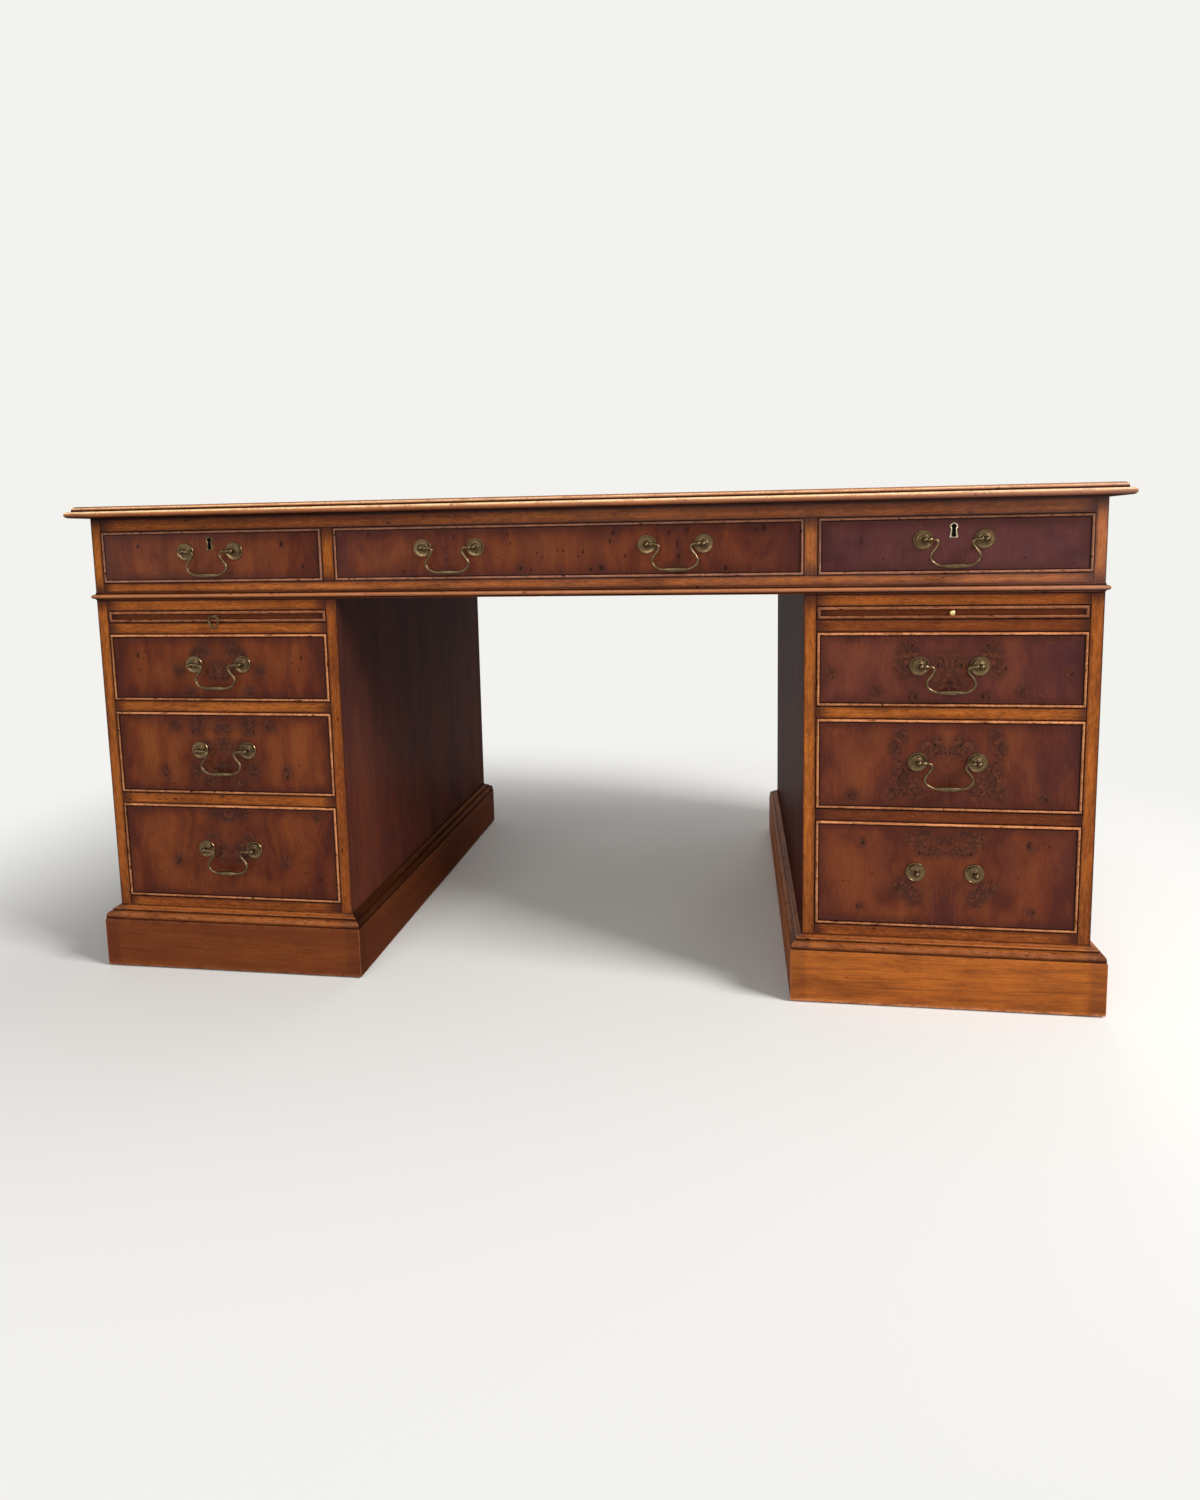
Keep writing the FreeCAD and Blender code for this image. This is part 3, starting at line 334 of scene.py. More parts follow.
class Stock:
    """Solids gathered for one piece, each with the run of its grain and its wear."""

    def __init__(self, name):
        self.name = name
        self.rng = random.Random(name)
        self.points = []
        self.faces = []
        self.marks = {"grain": [], "half": [], "mark": [], "wear": [], "figure": []}
        self.indices = []
        self.count = 0

    def add(self, points, faces, grain=None, half=(1, 1, 1), tone=0.5, wear=None, index=0,
            figure=None, bloom=None):
        """Adds a closed solid. wear holds the rub and the grime of every point; bloom gives each point a
        painted sheen, a reflection painted as haze.
        """
        points = np.asarray(points, float)
        many = len(points)
        worn = np.zeros((many, 3))
        if wear is not None:
            worn[:, :2] = wear
        if bloom:
            worn[:, 2] = bloom(points)
        self.points.append(points)
        self.faces += [[corner + self.count for corner in face] for face in faces]
        self.indices += [index] * len(faces) if isinstance(index, int) else list(index)
        for label, values in (
                ("grain", points if grain is None else grain),
                ("half", np.tile(half, (many, 1))),
                ("mark", np.tile((self.rng.random(), tone, 0), (many, 1))), ("wear", worn),
                ("figure", np.zeros((many, 3)) if figure is None else figure)):
            self.marks[label].append(values)
        self.count += many

    def board(self, solid, arris=None, along=None, across=None, tone=0.5, index=0, grid=None,
              paint=None, bloom=None):
        """Adds a CAD solid as a board whose grain runs along its longest side."""
        low, high = (np.array(corner) for corner in box_of(solid))
        order = list(np.argsort(low - high))
        for place, axis in enumerate((along, across)):
            if axis is not None:
                order.remove(axis)
                order.insert(place, axis)
        points, faces = eased(*solid, arris or bpy.context.scene.desk_trims.arris, grid)
        if callable(index):
            index = [index(points[face].mean(0)) for face in faces]
        grain = (points - (low + high) / 2)[:, order]
        figure, wear = paint(grain) if paint else (None, None)
        self.add(points, faces, grain, ((high - low) / 2)[order], tone, wear, index, figure,
                 bloom)

    def piece(self, node, *finishes, weighted=True):
        """Makes the object in its finishes, lets it ride with its node and stand for it."""
        mesh = bpy.data.meshes.new(self.name)
        mesh.from_pydata(np.concatenate(self.points).tolist(), [], self.faces)
        for finish in finishes:
            mesh.materials.append(MATERIALS[finish])
        for label, values in self.marks.items():
            keep_vectors(mesh, label, np.concatenate(values))
        mesh.polygons.foreach_set("material_index", self.indices)
        face_outwards(mesh)
        mesh.polygons.foreach_set("use_smooth", [True] * len(mesh.polygons))
        if weighted:
            weigh_normals(mesh)
        else:
            mesh.set_sharp_from_angle(angle=math.radians(34))
        settle(bpy.data.objects.new(self.name, mesh), SLOTS[finishes[0]], node)


def boards(name, node, finish, solids=None, **how):
    """Makes a piece of CAD solids that are all boards of one kind."""
    stock = Stock(name)
    for solid in solids or solids_of(node):
        stock.board(solid, **how)
    stock.piece(node, finish)


def keep_vectors(mesh, label, values):
    """Keeps three numbers for every point of a mesh."""
    layer = mesh.attributes.new(label, "FLOAT_VECTOR", "POINT")
    layer.data.foreach_set("vector", np.asarray(values, np.float32).ravel())


def face_outwards(mesh):
    work = bmesh.new()
    work.from_mesh(mesh)
    bmesh.ops.recalc_face_normals(work, faces=work.faces)
    work.to_mesh(mesh)
    work.free()


def weigh_normals(mesh):
    """Lets the broad faces set the shading, so that only the rounded edges shade round."""
    normals = np.zeros((len(mesh.vertices), 3))
    for face in mesh.polygons:
        normals[list(face.vertices)] += np.array(face.normal) * face.area
    sizes = np.linalg.norm(normals, axis=1)
    sizes[sizes == 0] = 1
    mesh.normals_split_custom_set_from_vertices((normals / sizes[:, None]).tolist())


def settle(piece, slot, *nodes):
    """Lets a piece ride with the body of its nodes and stand for them; the slot is not used."""
    bpy.context.scene.collection.objects.link(piece)
    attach(piece, body_of(nodes[0]))
    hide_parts(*nodes)


# ---------------------------------------------------------------- mouldings and turnings
def arc(centre, radius, start, end, steps):
    """Points on an arc, as (x, y), the angles in degrees."""
    turns = np.radians(np.linspace(start, end, steps + 1))
    return [(centre[0] + radius * math.cos(turn), centre[1] + radius * math.sin(turn))
            for turn in turns]


def worn_arc(centre, radius, start, end, rubs, grimes):
    """Points on an arc, each with its rub and its grime."""
    return [(*point, rub, grime) for point, rub, grime in
            zip(arc(centre, radius, start, end, len(rubs) - 1), rubs, grimes)]


def sweep(stock, centre, axes, reach, run, profile, nicked, tone, shade_and_grime, corner, bloom):
    """Adds a mitred moulding: profile lists (offset, height, rubbed, grimed), closed."""
    trims = bpy.context.scene.desk_trims
    out, along, up = axes
    rng = stock.rng
    many = len(profile)
    offsets, heights = np.array([point[:2] for point in profile]).T
    wear = np.array([point[2:] for point in profile], float)
    steps = np.hypot(np.diff(offsets), np.diff(heights))
    girth = np.concatenate(([0], np.cumsum(steps)))
    tangent = [np.roll(values, -1) - np.roll(values, 1) for values in (offsets, heights)]
    inward = np.stack((-tangent[1], tangent[0]))
    inward /= np.maximum(np.linalg.norm(inward, axis=0), 1e-9)
    area = np.sum(offsets * np.roll(heights, -1) - np.roll(offsets, -1) * heights)
    inward *= 1 if area > 0 else -1
    clear = run - max(0, -offsets.min()) - 2 * MILLIMETRE
    open_points = [i for i in range(many) if wear[i].max() > 0]
    nicks = []
    for _ in range(round(trims.dents * nicked * 2 * run)):
        nicks.append((rng.uniform(-clear, clear) * 0.985, rng.uniform(1, 5) * MILLIMETRE,
                      rng.choice(open_points), trims.dent_depth * rng.uniform(0.2, 1),
                      rng.random()))
    stations = list(np.linspace(-clear, clear, max(2, round(2 * clear / 0.12) + 1)))
    for place, size, *_ in nicks:
        stations += [place + size * step for step in (-1, -0.5, 0, 0.5, 1)]
    stations = sorted(float(place) for place in stations if abs(place) <= clear)
    inset = 1.2 * MILLIMETRE
    rows = [-run - offsets, inset - run - offsets, *stations, run + offsets - inset,
            run + offsets]
    points, grain, worn = [], [], []
    spread = 1.3 * MILLIMETRE
    for row, station in enumerate(rows):
        places = station + np.zeros(many)
        sunk = np.zeros(many)
        # Grime and painted shade of this side, darker towards one end.
        marked = wear + (0, shade_and_grime * (1 - 0.35 * places.mean() / run))
        if row in (0, len(rows) - 1):
            marked[:, 0] += corner
        for place, size, j, deep, kind in nicks if isinstance(station, float) else ():
            if abs(station - place) < size:
                weight = (1 - ((station - place) / size) ** 2) ** 2
                weight = weight * np.exp(-((girth - girth[j]) / spread) ** 2)
                sunk += deep * weight
                marked[:, 0 if kind > 0.8 else 1] += (0.4 if kind > 0.8 else 1.2) * weight
        moved_out = offsets + inward[0] * sunk
        moved_up = heights + inward[1] * sunk
        for j in range(many):
            points.append(centre + out * (reach + moved_out[j]) + along * places[j]
                          + up * moved_up[j])
            grain.append((places[j], girth[j], 0))
            worn.append(np.clip(marked[j], 0, 1))
    stock.add(points, tube(len(rows), many), grain, (run, 1, 1), tone, worn, bloom=bloom)


def mitred_frame(stock, centre, half_across, half_upright, profile, nicked, tone=0.5,
                 axes=(X, Y, Z), shades_and_grime=(0, 0, 0, 0), corner=0.0, bloom=None):
    """Four mitred mouldings round a rectangle, each with its own share of grime and painted shade."""
    across, upright, up = axes
    for shade_and_grime, (out, along, reach, run) in zip(shades_and_grime, (
            (across, upright, half_across, half_upright),
            (upright, -across, half_upright, half_across),
            (-across, -upright, half_across, half_upright),
            (-upright, across, half_upright, half_across))):
        sweep(stock, centre, (out, along, up), reach, run, profile, nicked, tone, shade_and_grime,
              corner, bloom)


def turning(profile, foot, axis, sides=32):
    """Turned solid: profile lists (distance along the axis, radius) and starts and ends at 0."""
    across = axis.orthogonal().normalized()
    third = axis.cross(across)
    points, rings = [], []
    for distance, radius, *_ in profile:
        if radius == 0:
            rings.append([len(points)])
            points.append(foot + axis * distance)
            continue
        rings.append(list(range(len(points), len(points) + sides)))
        for i in range(sides):
            turn = 2 * math.pi * i / sides
            points.append(foot + axis * distance
                          + (across * math.cos(turn) + third * math.sin(turn)) * radius)
    faces = []
    for near, far in zip(rings, rings[1:]):
        for i in range(sides):
            j = (i + 1) % sides
            corners = [near[i % len(near)], near[j % len(near)], far[j % len(far)],
                       far[i % len(far)]]
            faces.append(list(dict.fromkeys(corners)))
    return points, faces


# ---------------------------------------------------------------- node trees
class Field:
    """An output in a tree, which can be added, taken off and multiplied."""

    def __init__(self, net, socket):
        self.net = net
        self.socket = socket

    def __add__(self, other):
        return self.net.math("ADD", self, other)

    def __sub__(self, other):
        return self.net.math("SUBTRACT", self, other)

    def __mul__(self, other):
        return self.net.math("MULTIPLY", self, other)


class Net:
    """Short names for the nodes of one tree."""

    def __init__(self, tree):
        self.tree = tree

    def feed(self, socket, value):
        if isinstance(value, Field):
            self.tree.links.new(value.socket, socket)
        elif value is not None:
            socket.default_value = value

    def fields(self, node):
        """The outputs of a node, by number and by name."""
        made = {}
        for number, output in enumerate(node.outputs):
            made[number] = Field(self, output)
            made.setdefault(output.name, made[number])
        return made

    def make(self, kind, inputs=(), **settings):
        """New node with inputs fed by number or by name. Gives its outputs."""
        made = self.tree.nodes.new(kind)
        for label, value in settings.items():
            setattr(made, label, value)
        for label, value in dict(inputs).items():
            self.feed(made.inputs[label], value)
        return self.fields(made)

    def math(self, operation, *values, clamp=False):
        return self.make("ShaderNodeMath", enumerate(values), operation=operation,
                         use_clamp=clamp)[0]

    def vector(self, operation, *values):
        return self.make("ShaderNodeVectorMath", enumerate(values), operation=operation)[0]

    def scale(self, vector, factor):
        return self.make("ShaderNodeVectorMath", {0: vector, "Scale": factor},
                         operation="SCALE")[0]

    def stretch(self, vector, *scales):
        return self.vector("MULTIPLY", vector, scales)

    def split(self, vector):
        parts = self.make("ShaderNodeSeparateXYZ", {0: vector})
        return parts[0], parts[1], parts[2]

    def join(self, *values):
        return self.make("ShaderNodeCombineXYZ", enumerate(values))[0]

    def point(self):
        """The place of the shaded point."""
        return self.make("ShaderNodeTexCoord")["Object"]

    def mix(self, factor, first, second):
        first, second = (value if isinstance(value, Field) else (*value[:3], 1)
                         for value in (first, second))
        return self.make("ShaderNodeMix", {0: factor, 6: first, 7: second},
                         data_type="RGBA")[2]

    def coats(self, shade, *coats):
        """Lays coats over a colour, each with its share and its own colour."""
        for part, coat in coats:
            shade = self.mix(part, shade, coat)
        return shade

    def ease(self, value, low, high, first=0.0, last=1.0):
        """Smooth step from first to last as value goes from low to high."""
        return self.make("ShaderNodeMapRange", enumerate((value, low, high, first, last)),
                         interpolation_type="SMOOTHSTEP")[0]

    def noise(self, vector, scale, detail=2.0, roughness=0.5, distortion=0.0):
        return self.make("ShaderNodeTexNoise", {
            "Vector": vector, "Scale": scale, "Detail": detail, "Roughness": roughness,
            "Distortion": distortion})

    def blur(self, vector, scale, *texture):
        """Noise of one scale or of one for each axis."""
        if isinstance(scale, tuple):
            vector, scale = self.stretch(vector, *scale), 1.0
        return self.noise(vector, scale, *texture)[0]

    def cells(self, vector, scale, feature="F1"):
        return self.make("ShaderNodeTexVoronoi", {"Vector": vector, "Scale": scale},
                         feature=feature)

    def dots(self, vector, scale, size, part):
        """Dots of uneven size in a share of the cells."""
        cell = self.cells(vector, scale)
        red, green, _ = self.split(cell["Color"])
        size = (green + 0.35) * size
        return (self.ease(cell["Distance"], size * 0.45, size, 1.0, 0.0)
                * self.math("LESS_THAN", red, part))

    def place(self, name, **values):
        """Places a shader group. Gives its outputs."""
        values = {label.replace("_", " ").capitalize(): value
                  for label, value in values.items()}
        return self.make("ShaderNodeGroup", values, node_tree=group(name))


def open_group(name, inputs):
    """New shader node group, whose inputs have these names and defaults."""
    tree = bpy.data.node_groups.new(name, "ShaderNodeTree")
    for label, value in inputs.items():
        kind = "NodeSocketVector" if isinstance(value, tuple) else "NodeSocketFloat"
        socket = tree.interface.new_socket(label, in_out="INPUT", socket_type=kind)
        socket.default_value = value
    net = Net(tree)
    return net, net.make("NodeGroupInput")


def close_group(net, **outputs):
    """Puts values out of a group, each under its own name."""
    for label in outputs:
        net.tree.interface.new_socket(label, in_out="OUTPUT", socket_type="NodeSocketFloat")
    sink = net.tree.nodes.new("NodeGroupOutput").inputs
    for label, value in outputs.items():
        net.feed(sink[label], value)
    return net.tree


def grain_group():
    """Figure, streaks and pores of a straight-grained board."""
    net, source = open_group("Board grain", {"Grain": (0, 0, 0), "Board": 0.0, "Bands": 55.0,
                                             "Lines": 420.0, "Ripple": 0.006})
    ripple = source["Ripple"]
    placed = net.vector("ADD", source["Grain"],
                        net.scale((37.0, 11.0, 5.0), source["Board"]))
    bend = net.vector("SUBTRACT", net.noise(net.stretch(placed, 2.6, 9, 9), 1.0)[1],
                      (0.5, 0.5, 0.5))
    bend = net.vector("MULTIPLY", bend, net.join(0.0, ripple, ripple))
    placed = net.vector("ADD", placed, net.scale(bend, 2.0))
    bands = net.vector("MULTIPLY", placed, net.join(1.5, source["Bands"], source["Bands"]))
    lines = net.vector("MULTIPLY", placed, net.join(7.0, source["Lines"], source["Lines"]))
    return close_group(net, Figure=net.noise(bands, 1.0, 4.0, 0.6)[0],
                       Streak=net.noise(lines, 1.0, 3.0, 0.6)[0],
                       Pores=net.blur(placed, (90, 1900, 1900), 1.0))


def polish_group():
    """Where old polish gathers: the ends, the edges and the very seam of a board."""
    net, source = open_group("Old polish", {
        "Grain": (0, 0, 0), "Half": (1, 1, 1), "Board": 0.0, "End reach": 0.05,
        "Edge reach": 0.006})
    x, y, z = net.split(net.vector("SUBTRACT", source["Half"],
                                   net.vector("ABSOLUTE", source["Grain"])))
    shift = net.vector("ADD", source["Grain"], net.join(source["Board"], source["Board"], 0.0))
    reach = net.blur(shift, (14, 26, 26), 3.0, 0.6) * 2.0
    side = net.math("MAXIMUM", y, z)
    seam = net.noise(shift, 120.0, 2.0)[0] * 0.0016 + 0.0008
    return close_group(net, Ends=net.ease(x, 0.0, source["End reach"] * reach, 1.0, 0.0),
                       Edges=net.ease(side, 0.0, source["Edge reach"] * reach, 1.0, 0.0),
                       Seam=net.ease(side, seam * 0.4, seam, 1.0, 0.0))


def speck_group():
    """Scattered dark specks, stretched along the first axis."""
    net, source = open_group("Specks", {"Vector": (0, 0, 0), "Scale": 60.0, "Size": 0.12,
                                        "Share": 0.4})
    return close_group(net, Mask=net.dots(source["Vector"], source["Scale"], source["Size"],
                                          source["Share"]))


def scratch_group():
    """A few fine scratches that lie at odd angles."""
    net, source = open_group("Scratches", {"Vector": (0, 0, 0), "Share": 0.3})
    total = None
    for turn, seed in ((0.5, 3.0), (-0.9, 8.0), (1.4, 13.0)):
        spun = net.make("ShaderNodeVectorRotate", {"Vector": source["Vector"], "Angle": turn},
                        rotation_type="Z_AXIS")[0]
        moved = net.vector("ADD", spun, (seed, seed, 0))
        cell = net.cells(net.stretch(moved, 28, 900, 0), 0.55)
        line = (net.ease(cell["Distance"], 0.03, 0.16, 1.0, 0.0)
                * net.ease(net.noise(moved, 26.0)[0], 0.56, 0.66)
                * net.math("LESS_THAN", net.split(cell["Color"])[0], source["Share"]))
        total = net.math("MAXIMUM", total, line) if total else line
    return close_group(net, Mask=total)


def burr_group():
    """Book-matched burr veneer: clouds, fibres, clumps of pips and the rim of the leaf."""
    net, source = open_group("Burr figure", {"Grain": (0, 0, 0), "Half": (1, 1, 1),
                                             "Board": 0.0, "Clumps": 0.0})
    x, y, _ = net.split(source["Grain"])
    half_x, half_y, _ = net.split(source["Half"])
    leaf = net.math("ABSOLUTE", x)
    seed = source["Board"] * 9.0
    sheet = net.join(leaf + seed, y + seed, 0.0)
    bend = net.vector("SUBTRACT", net.noise(sheet, 19.0, 2.0)[1], (0.5, 0.5, 0.5))
    bent = net.vector("MULTIPLY_ADD", bend, (0.02, 0.02, 0), sheet)
    ragged = (net.noise(sheet, 85.0, 3.0, 0.6)[0] - 0.5) * 0.9
    clump = (net.ease(source["Clumps"] + ragged, 0.15, 0.85)
             * net.ease(source["Clumps"], 0.04, 0.3))
    fine, broad = (net.dots(net.stretch(bent, 1, 0.66, 0), scale, size, part)
                   for scale, size, part in ((230.0, 0.38, 0.6), (75.0, 0.11, 0.3)))
    return close_group(
        net, Cloud=net.blur(bent, (32, 11, 0), 4.0, 0.6, 0.6),
        Fibre=net.blur(bent, (300, 24, 0), 3.0, 0.65), Clump=clump,
        Swirl=net.noise(bent, 150.0, 2.0, 0.5, 1.3)[0],
        Pips=net.math("MAXIMUM", fine * clump, broad),
        Rim=net.math("MINIMUM", half_x - leaf, half_y - net.math("ABSOLUTE", y)))


def tarnish_group():
    """How far a metal has darkened, in soft blotches, and the fine grain of its surface."""
    net, source = open_group("Tarnish", {"Vector": (0, 0, 0), "Rubbed": 0.0})
    broad = net.noise(source["Vector"], 150.0, 3.0, 0.55)[0]
    fine = net.noise(source["Vector"], 1100.0, 3.0, 0.6)[0]
    spread = broad * 0.7 + fine * 0.3 - source["Rubbed"] * 0.3
    return close_group(net, Mask=net.ease(spread, 0.3, 0.66), Grain=fine)


# ---------------------------------------------------------------- materials
GROUPS = {}
MATERIALS = {}
# The slot of the part that each finish fills.
SLOTS = {finish: slot for slot, finishes in {
    "case_yew": ("frame_yew", "bead_yew", "edge_yew", "side_panel", "plinth_yew", "top_veneer"),
    "burr_yew": ("burr_front",), "lining_oak": ("lining",),
    "top_leather": ("leather", "gilt_face"),
    "antique_brass": ("antique_brass_face", "old_brass_face", "rubbed_brass_face",
                      "steel_face"),
    "bright_brass": ("bright_brass_face",), "glide_plastic": ("glide",)}.items()
    for finish in finishes}


def group(name):
    """The shader group of this name, built when it is first asked for."""
    makers = {"grain": grain_group, "polish": polish_group, "specks": speck_group,
              "scratches": scratch_group, "burr": burr_group, "tarnish": tarnish_group}
    if name not in GROUPS:
        GROUPS[name] = makers[name]()
    return GROUPS[name]


def new_material(name):
    """Makes a material. Gives the net of its nodes."""
    MATERIALS[name] = bpy.data.materials.new(name)
    MATERIALS[name].use_nodes = True
    return Net(MATERIALS[name].node_tree)


def surface(net, values, height=None, strength=0.0, distance=0.0):
    """Feeds the shader of a material, and sets its relief from a height."""
    if height:
        values["Normal"] = net.make("ShaderNodeBump", {
            "Strength": strength, "Distance": distance, "Height": height})[0]
    for label, value in values.items():
        net.feed(net.tree.nodes["Principled BSDF"].inputs[label], value)


def attributes(net):
    """Grain, half size, board number, tone, rub, grime, painted sheen and painted figure."""
    grain, half, mark, wear, figure = (
        net.make("ShaderNodeAttribute", attribute_name=label)["Vector"]
        for label in ("grain", "half", "mark", "wear", "figure"))
    return grain, half, *net.split(mark)[:2], *net.split(wear), figure


def polished_wood(name, light, middle, dark, end_reach=0.03, edge_reach=0.004, bands=60.0,
                  lines=380.0, ripple=0.006, patina_weight=0.85, rub_weight=0.8, gloss=1.0,
                  grain_depth=0.25, seam=0.0, streaks=0.5, coat_roughness=0.16, mottle=0.45,
                  soot=0.0, patches=0.4, highlight_share=0.0, knots=0.8, eaves=()):
    """French-polished board: figure, streaks, patina, specks, rub and scratches, and where asked painted
    shade, a painted highlight and a painted sheen.
    """
    woods = bpy.context.scene.desk_woods
    net = new_material(name)
    grain, half, board, tone, rub, grime, bloom, _ = attributes(net)
    figure = net.place("grain", grain=grain, board=board, bands=bands, lines=lines,
                       ripple=ripple)
    polish = net.place("polish", grain=grain, half=half, board=board, end_reach=end_reach,
                       edge_reach=edge_reach)
    placed = net.vector("ADD", grain, net.join(board, tone, 0.0))
    specks = net.place("specks", vector=net.stretch(placed, 0.4, 1, 1), scale=90.0, size=0.17,
                       share=0.24)["Mask"]
    scratches = net.place("scratches", vector=placed, share=0.12)["Mask"]
    cloud = net.blur(placed, (6, 16, 16), 3.0, 0.6)
    stain = net.blur(placed, (16, 60, 60), 4.0, 0.65)
    fine = net.blur(placed, (90, 420, 420), 3.0, 0.75)
    aged = net.math("MAXIMUM", polish["Ends"] * patina_weight,
                    polish["Edges"] * (patina_weight * 0.6))
    shade = net.coats(
        middle, (net.ease(figure["Figure"], 0.34, 0.66), light),
        (net.ease(tone, 0.0, 0.5, 0.6, 0.0), light),
        (net.ease(tone, 0.5, 1.0, 0.0, 0.88), woods.deep),
        (net.ease(figure["Streak"], 0.46, 0.72, 0.0, streaks), dark),
        (net.ease(cloud, 0.46, 0.76, 0.0, 0.5), dark),
        (net.ease(stain, 0.42, 0.68, 0.0, 0.42), woods.deep),
        (net.ease(fine, 0.42, 0.72, 0.0, mottle), dark),
        (net.ease(fine, 0.28, 0.44, 0.25 * mottle, 0.0), woods.worn),
        (aged, woods.patina), (specks * knots, woods.burr_knot))
    # Painted shade below each given height: under the top's overhang and under the base bead.
    for top, near, far, weight in eaves:
        gap = net.math("SUBTRACT", top, net.split(net.point())[2])
        under = net.ease(gap, near, far, weight, 0.0) * net.math("GREATER_THAN", gap, -0.001)
        shade = net.mix(under, shade, woods.eaves)
    rough = net.ease(net.blur(placed, 230.0, 3.0), 0.28, 0.62, patches, 1.0)
    patchy = net.ease(net.blur(placed, (34, 60, 60), 3.0, 0.6), 0.34, 0.56, patches, 1.0)
    bare = rub * (rough * patchy)
    # haze breaks the painted sheen into patches.
    haze = net.ease(net.blur(placed, 20.0, 3.0, 0.6), 0.3, 0.6, 0.6, 1.0)
    black = net.blur(placed, (60, 260, 260), 4.0, 0.7)
    # Then seam, rub, painted highlight, painted sheen, soot and grime; the grime is dirt, and painted
    # shade on the mouldings that carry it.
    shade = net.coats(
        shade, (polish["Seam"] * seam, woods.burr_knot),
        (net.math("MAXIMUM", bare * rub_weight, scratches * 0.25), woods.worn),
        (net.ease(bare, 0.6, 1.0, 0.0, highlight_share), woods.painted_highlight), (bloom * haze, woods.bloom),
        (net.ease(black, 0.55, 0.66, 0.0, soot), woods.burr_knot),
        (grime * 0.92, woods.burr_knot))
    wax = net.ease(net.blur(placed, 40.0, 4.0), 0.3, 0.7, 0.36, 0.5)
    clean = net.math("SUBTRACT", 1.0, grime, clamp=True)
    surface(net, {"Base Color": shade, "Roughness": wax + grime * 0.25,
                  "Specular IOR Level": 0.0, "Coat Weight": clean * (woods.coat * gloss),
                  "Coat Roughness": coat_roughness},
            figure["Pores"] * 0.5 + figure["Streak"] - specks * 1.5, grain_depth, 0.0003)


def burr_veneer(name):
    """Burr yew leaf under polish, darkest round its rim."""
    woods = bpy.context.scene.desk_woods
    net = new_material(name)
    grain, half, board, tone, _, grime, bloom, marks = attributes(net)
    clumps, light, dark = net.split(marks)
    figure = net.place("burr", grain=grain, half=half, board=board, clumps=clumps)
    cloud, fibre, clump, rim = (figure[label] for label in ("Cloud", "Fibre", "Clump", "Rim"))
    placed = net.vector("ADD", grain, net.join(board, board, 0.0))
    pale = net.math("ADD", light * 0.8, net.ease(cloud, 0.5, 0.74, 0.0, 0.45), clamp=True)
    shadow = net.mix(net.ease(tone, 0.5, 0.62), woods.burr_shadow, woods.red_shadow)
    mist = net.math("ADD", clumps * 0.62, clump * 0.42, clamp=True)
    reach = net.blur(placed, 30.0, 3.0, 0.6) * 0.05
    curl = net.noise(net.stretch(placed, 1, 0.7, 1), 330.0, 3.0, 0.7, 1.2)[0]
    ragged = net.noise(net.stretch(placed, 1, 0.5, 1), 420.0, 2.0)[0]
    knot = net.ease(grime + ragged * 0.7, 0.55, 1.05) * net.ease(grime, 0.05, 0.3, 0.0, 0.85)
    scratches = net.place("scratches", vector=placed, share=0.14)["Mask"]
    # haze breaks the painted sheen into patches.
    haze = net.ease(net.blur(placed, 14.0, 3.0, 0.6), 0.3, 0.62, 0.5, 1.0)
    shade = net.coats(
        woods.burr_shade, (net.ease(cloud, 0.33, 0.57), woods.burr_ground),
        (pale, woods.burr_honey), (net.ease(tone, 0.5, 1.0, 0.0, 0.8), woods.red),
        (net.math("MULTIPLY", dark, 0.85, clamp=True), shadow),
        (net.ease(fibre, 0.48, 0.75, 0.0, 0.42), woods.burr_shade),
        (net.ease(fibre, 0.25, 0.46, 0.16, 0.0), woods.burr_honey), (mist, woods.burr_murk),
        (clump * net.ease(figure["Swirl"], 0.46, 0.66, 0.0, 0.5), woods.burr_curl),
        (net.ease(rim, 0.002, reach, 0.62, 0.0), woods.patina),
        # Dark line at the foot of the cock bead: grime and painted shade of the bead.
        (net.ease(rim, 0.0044, 0.0068, 0.97, 0.0), woods.burr_knot),
        (net.ease(curl, 0.52, 0.7, 0.0, 0.3), woods.burr_shade),
        (net.ease(curl, 0.3, 0.44, 0.22, 0.0), woods.burr_honey),
        (figure["Pips"] * 0.8, woods.burr_knot), (knot, woods.burr_knot),
        (scratches * 0.22, woods.worn), (bloom * haze, woods.bloom))
    surface(net, {"Base Color": shade,
                  "Roughness": net.ease(net.blur(placed, 30.0, 4.0), 0.3, 0.7, 0.34, 0.46),
                  "Specular IOR Level": 0.0, "Coat Weight": woods.coat,
                  "Coat Roughness": 0.14}, fibre - figure["Pips"], 0.2, 0.0003)


def lining_wood(name):
    """Waxed oak with open grain."""
    woods = bpy.context.scene.desk_woods
    net = new_material(name)
    grain, half, board, *_ = attributes(net)
    figure = net.place("grain", grain=grain, board=board, bands=38.0, lines=520.0,
                       ripple=0.012)
    streak = figure["Streak"]
    polish = net.place("polish", grain=grain, half=half, board=board, end_reach=0.012,
                       edge_reach=0.005)
    shade = net.coats(
        woods.lining_dark, (net.ease(figure["Figure"], 0.3, 0.7), woods.lining),
        (net.ease(streak, 0.55, 0.72, 0.0, 0.7), woods.lining_dark),
        (net.math("MAXIMUM", polish["Ends"], polish["Edges"]) * 0.45, woods.lining_dust))
    surface(net, {"Base Color": shade, "Roughness": net.ease(streak, 0.3, 0.7, 0.62, 0.78),
                  "Specular IOR Level": 0.25}, streak + figure["Pores"], 0.5, 0.0004)


